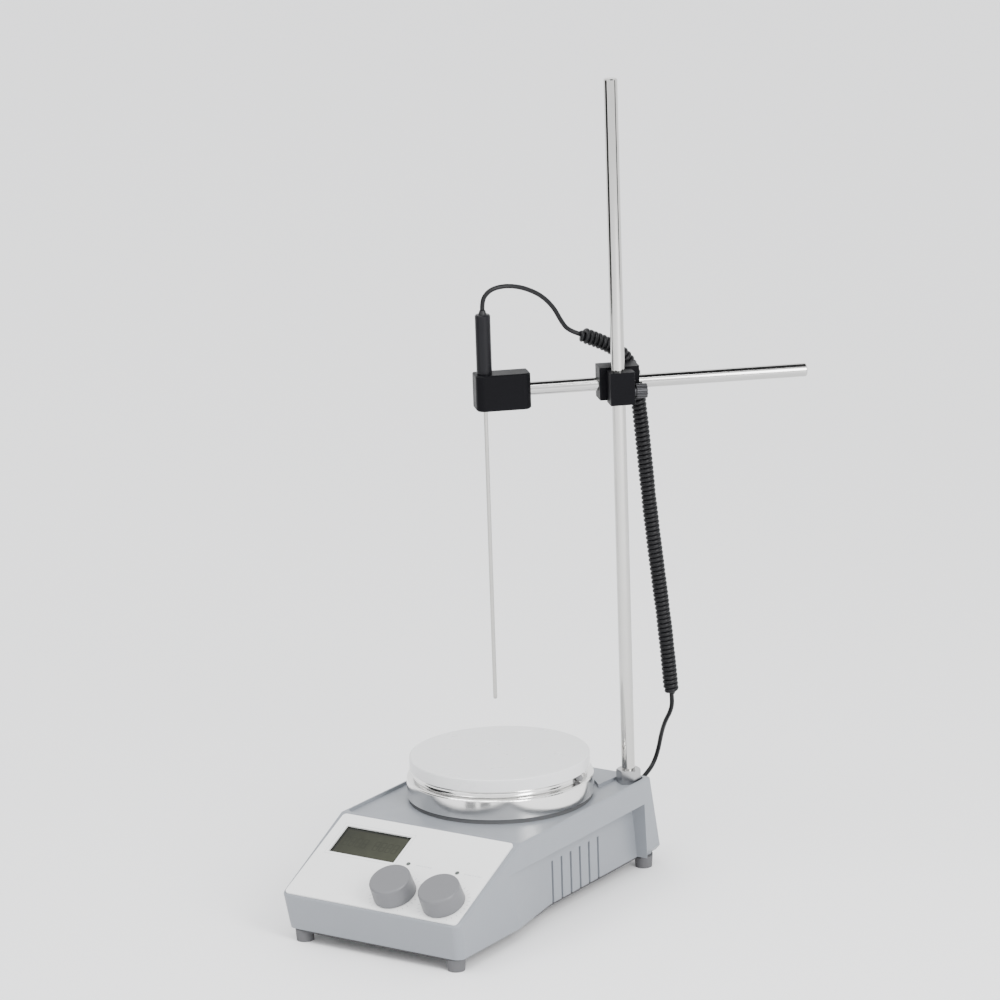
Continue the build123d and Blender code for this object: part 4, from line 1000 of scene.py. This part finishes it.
@dataclass
class ProbeLead:
    """Curly lead from the probe's handle, over the clamp and down to its plug.

    The curl is a helix about the coil's axis, swept by the lead: axis + r(s) (side cos p + up sin p), where
    p grows evenly with s, and r rises from nothing at each end, so that the straight leads join smoothly.
    """

    radius: float = 1.75 * MM
    helix_radius: float = 4.25 * MM
    turns: int = 88
    per_turn: int = 26
    around: int = 10
    run_in: float = 1.3
    upper: tuple[Point, ...] = (
        (-13.22, 16.75, 439.3), (-13.22, 16.75, 445.8), (-10.85, 19.2, 451.8), (-6.6, 24.1, 455.3),
        (0.0, 32.9, 455.9), (7.1, 43.4, 452.8), (14.4, 54.4, 445.8), (19.3, 62.8, 435.7),
        (21.9, 68.4, 424.4), (24.6, 73.4, 416.8), (30.2, 79.2, 413.6),
    )
    coil: tuple[Point, ...] = (
        (30.2, 79.2, 413.6), (41.2, 90.6, 407.3), (52.8, 103.3, 396.6), (59.0, 109.6, 379.5),
        (61.6, 111.4, 352.0), (63.2, 113.6, 318.0), (65.4, 117.2, 268.0), (68.4, 122.2, 216.0),
        (70.6, 127.4, 168.0), (71.4, 131.2, 127.0),
    )
    lower: tuple[Point, ...] = (
        (71.4, 131.2, 127.0), (71.55, 131.9, 119.5), (68.2, 133.6, 111.6), (62.4, 136.4, 103.6),
        (57.2, 140.4, 95.4), (52.6, 144.4, 86.6), (49.0, 147.2, 77.4), (46.2, 147.0, 68.4),
        (44.6, 143.2, 61.9), (44.0, 134.33, 57.40), (44.0, 128.11, 55.50),
    )
    shares: tuple[float, ...] = (0.0, 0.17, 0.36, 0.72, 1.0)
    bodies: tuple[str, ...] = ("holder", "cross_arm", "head", "rod", "base")
    samples: int = 110
    upper_settled: tuple[int, int] = (6, -8)
    uneven: tuple[tuple[float, float, float], ...] = ((0.03, 0.71, 0.0), (0.02, 0.23, 1.0))
    inset: float = 0.08
    tilt_share: float = 0.42

    def lead(self, name: str, route: Sequence[Point], side: Point, sheath: bpy.types.Material) -> np.ndarray:
        """Build one straight lead.

        Args:
            name: the piece's name.
            route: its control points, in millimetres.
            side: a direction that the lead never runs along.
            sheath: its material.

        Returns:
            The points of its centre line.
        """
        path = path_of(name, [tuple(value * MM for value in spot) for spot in route])
        centre, _ = resample(path, self.samples)
        rings = tube_rings(centre, np.tile(np.array(side), (len(centre), 1)), self.radius, 2 * self.around)
        grid_mesh(name, rings, sheath)
        return centre

    def curl(self) -> tuple[np.ndarray, np.ndarray, np.ndarray]:
        """Centre line of the curl; uneven lists the (share, rate, phase) of its slow swings in radius.

        Returns:
            The coil's axis, the helix and the outward vector of each point.
        """
        path = path_of("coil_axis", [tuple(value * MM for value in spot) for spot in self.coil])
        axis, _ = resample(path, self.turns * self.per_turn + 1)
        along = directions(axis)
        side = np.cross(along, (0.7, -0.7, 0.0))
        side /= np.linalg.norm(side, axis=1)[:, None]
        up = np.cross(along, side)
        turn = np.linspace(0, self.turns, len(axis))
        from_end = np.minimum(turn, self.turns - turn) / self.run_in
        ease = np.clip(from_end, 0, 1)
        ease = ease * ease * (3 - 2 * ease)
        slack = 1 + sum(share * np.sin(turn * rate + phase) for share, rate, phase in self.uneven)
        angle = 2 * math.pi * turn[:, None]
        outward = side * np.cos(angle) + up * np.sin(angle)
        return axis, axis + self.helix_radius * (ease * np.minimum(slack, 1.0))[:, None] * outward, outward

    def build(self) -> list[bpy.types.Object]:
        """Returns:
            The pieces.
        """
        sheath = made(CABLE)
        top = self.lead("lead_upper", self.upper, (0.82, -0.57, 0.0), sheath)
        foot = self.lead("lead_lower", self.lower, (1.0, 0.0, 0.0), sheath)
        axis, helix, outward = self.curl()
        pieces = [bpy.data.objects["lead_upper"], bpy.data.objects["lead_lower"]]
        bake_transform(pieces[0])
        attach(pieces[1], "base")
        declared = [
            (pieces[0], top, "object", "cord_upper", ()),
            (pieces[1], foot, "connector", "cord_lower", ("probe_plug",)),
        ]
        last = len(axis) - 1
        marks = [round(share * self.turns) * self.per_turn for share in self.shares]
        marks[-1] = last
        for number, (low, high) in enumerate(zip(marks, marks[1:]), 1):
            name = f"lead_curl_{number}"
            centre = helix[low:high + 1]
            rings = tube_rings(helix, outward, self.radius, self.around)[low:high + 1]
            piece = grid_mesh(name, rings, sheath)
            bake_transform(piece)
            declared.append((piece, centre, "object", "cord_coil", ()))
            pieces.append(piece)
        for piece, centre, far_end, node, others in declared:
            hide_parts(node)
        return pieces


# ---------------- studio


@dataclass(frozen=True)
class SoftBox:
    """A soft light that faces the object: where it stands, its width and height, and its power in watts."""

    name: str
    spot: Point
    size: tuple[float, float]
    power: float


@dataclass(frozen=True)
class Upright:
    """An upright dark card, which draws the edges of polished metal.

    bearing is its direction from the object, in degrees anticlockwise from +X.
    """

    name: str
    bearing: float
    distance: float
    width: float
    height: float


@dataclass
class Studio:
    """Pale floor, soft lights, dark cards and the camera."""

    target: Point = (0.0868, -0.1176, 0.3377)
    back: Point = (0.53954, -0.80594, 0.24362)
    distance: float = 3.0
    roll: float = -1.9
    lens: float = 154.2
    sensor: float = 36.0
    far_clip: float = 50.0
    floor_size: float = 12.0
    pale: Colour = (0.95, 0.95, 0.955)
    dark: Colour = (0.012, 0.012, 0.013)
    sky: Colour = (0.985, 0.99, 1.0)
    sky_strength: float = 1.9
    overhead: Point = (0.02, 0.5, 2.0)
    overhead_along: Point = (-0.68, 0.79, 0.0)
    overhead_across: Point = (0.3, 0.26, 0.0)
    card_foot: float = 0.15
    lit_point: Point = (0.0, 0.0, 0.2)
    uprights: tuple[Upright, ...] = (
        Upright("left_card", 214.0, 1.25, 1.1, 1.1),
        Upright("right_card", 20.0, 1.6, 0.5, 1.1),
    )
    boxes: tuple[SoftBox, ...] = (
        SoftBox("key_box", (-0.9, -1.2, 2.6), (1.4, 1.0), 26.0),
        SoftBox("side_box", (2.2, -0.9, 1.3), (0.7, 1.6), 56.0),
        SoftBox("top_box", (0.5, -0.6, 2.6), (1.4, 0.8), 34.0),
    )

    def card(self, name: str, corners: Sequence[Point], colour: Colour, seen: bool = False) -> None:
        """Add one flat square of matt paper that isn't part of the object.

        Args:
            name: its name.
            corners: its four corners, in order.
            colour: its colour.
            seen: whether the camera sees it; other rays always do.
        """
        mesh = bpy.data.meshes.new(name)
        mesh.from_pydata([tuple(corner) for corner in corners], [], [(0, 1, 2, 3)])
        piece = bpy.data.objects.new(name, mesh)
        bpy.context.scene.collection.objects.link(piece)
        paint = Paint(name + "_paper")
        paint.set(Base_Color=(*colour, 1.0), Roughness=0.9, Specular_IOR_Level=0.1)
        mesh.materials.append(paint.material)
        piece.visible_camera = seen

    def floor(self) -> None:
        """Build the floor: a flat square."""
        half = self.floor_size / 2
        corners = [(-half, -half, 0.0), (half, -half, 0.0), (half, half, 0.0), (-half, half, 0.0)]
        self.card("studio_floor", corners, self.pale, seen=True)

    def standing(self, upright: Upright) -> None:
        """Add one upright dark card."""
        bearing = math.radians(upright.bearing)
        out = Vector((math.cos(bearing), math.sin(bearing), 0.0))
        side = Vector((-out.y, out.x, 0.0)) * (upright.width / 2)
        foot = out * upright.distance + Vector((0.0, 0.0, self.card_foot))
        top = out * upright.distance + Vector((0.0, 0.0, upright.height))
        self.card(upright.name, [foot - side, foot + side, top + side, top - side], self.dark)

    def cards(self) -> None:
        """Add the dark cards: the upright ones and one overhead."""
        for upright in self.uprights:
            self.standing(upright)
        centre, across = Vector(self.overhead), Vector(self.overhead_across)
        near, far = centre - Vector(self.overhead_along), centre + Vector(self.overhead_along)
        self.card("top_card", [near - across, near + across, far + across, far - across], self.dark)

    def lamp(self, box: SoftBox) -> None:
        """Add one soft box that faces the object."""
        light = bpy.data.lights.new(box.name, "AREA")
        light.shape = "RECTANGLE"
        light.size, light.size_y = box.size
        light.energy = box.power
        holder = bpy.data.objects.new(box.name, light)
        bpy.context.scene.collection.objects.link(holder)
        turn = (Vector(box.spot) - Vector(self.lit_point)).to_track_quat("Z", "Y").to_matrix().to_4x4()
        holder.matrix_world = Matrix.Translation(box.spot) @ turn

    def world(self) -> None:
        """Even pale light from all round."""
        world = bpy.data.worlds.new("studio")
        bpy.context.scene.world = world
        world.use_nodes = True
        background = world.node_tree.nodes["Background"]
        background.inputs["Color"].default_value = (*self.sky, 1.0)
        background.inputs["Strength"].default_value = self.sky_strength

    def camera(self) -> None:
        """Place the camera at the usual view of the object, a little rolled."""
        data = bpy.data.cameras.new("view")
        data.lens = self.lens
        data.sensor_width = self.sensor
        data.clip_end = self.far_clip
        holder = bpy.data.objects.new("view", data)
        bpy.context.scene.collection.objects.link(holder)
        back = Vector(self.back).normalized()
        right = Vector((0, 0, 1)).cross(back).normalized()
        up = back.cross(right)
        cos, sin = math.cos(math.radians(self.roll)), math.sin(math.radians(self.roll))
        axes = (right * cos + up * sin, up * cos - right * sin, back)
        turn = Matrix(axes).transposed().to_4x4()
        holder.matrix_world = Matrix.Translation(Vector(self.target) + back * self.distance) @ turn
        bpy.context.scene.camera = holder

    def build(self) -> None:
        """Build the whole studio."""
        self.camera()
        self.floor()
        self.world()
        self.cards()
        for box in self.boxes:
            self.lamp(box)


def main() -> None:
    """Build every sub-assembly, dress it and report it."""
    logging.basicConfig(level=logging.INFO)
    Studio().build()
    plug = ProbePlug().build()
    pieces = [plug, *ProbeLead().build(), Stand().build_nut()]
    fixed = (Housing(), ControlFace(), HeatedPlate(), Drive(), RearFittings())
    for part in (*fixed, Stand(), Clamps(), Probe()):
        part.dress()
    for piece in pieces:
        LOG.info("%s has %d faces", piece.name, len(piece.data.polygons))


if __name__ == "__main__":
    main()
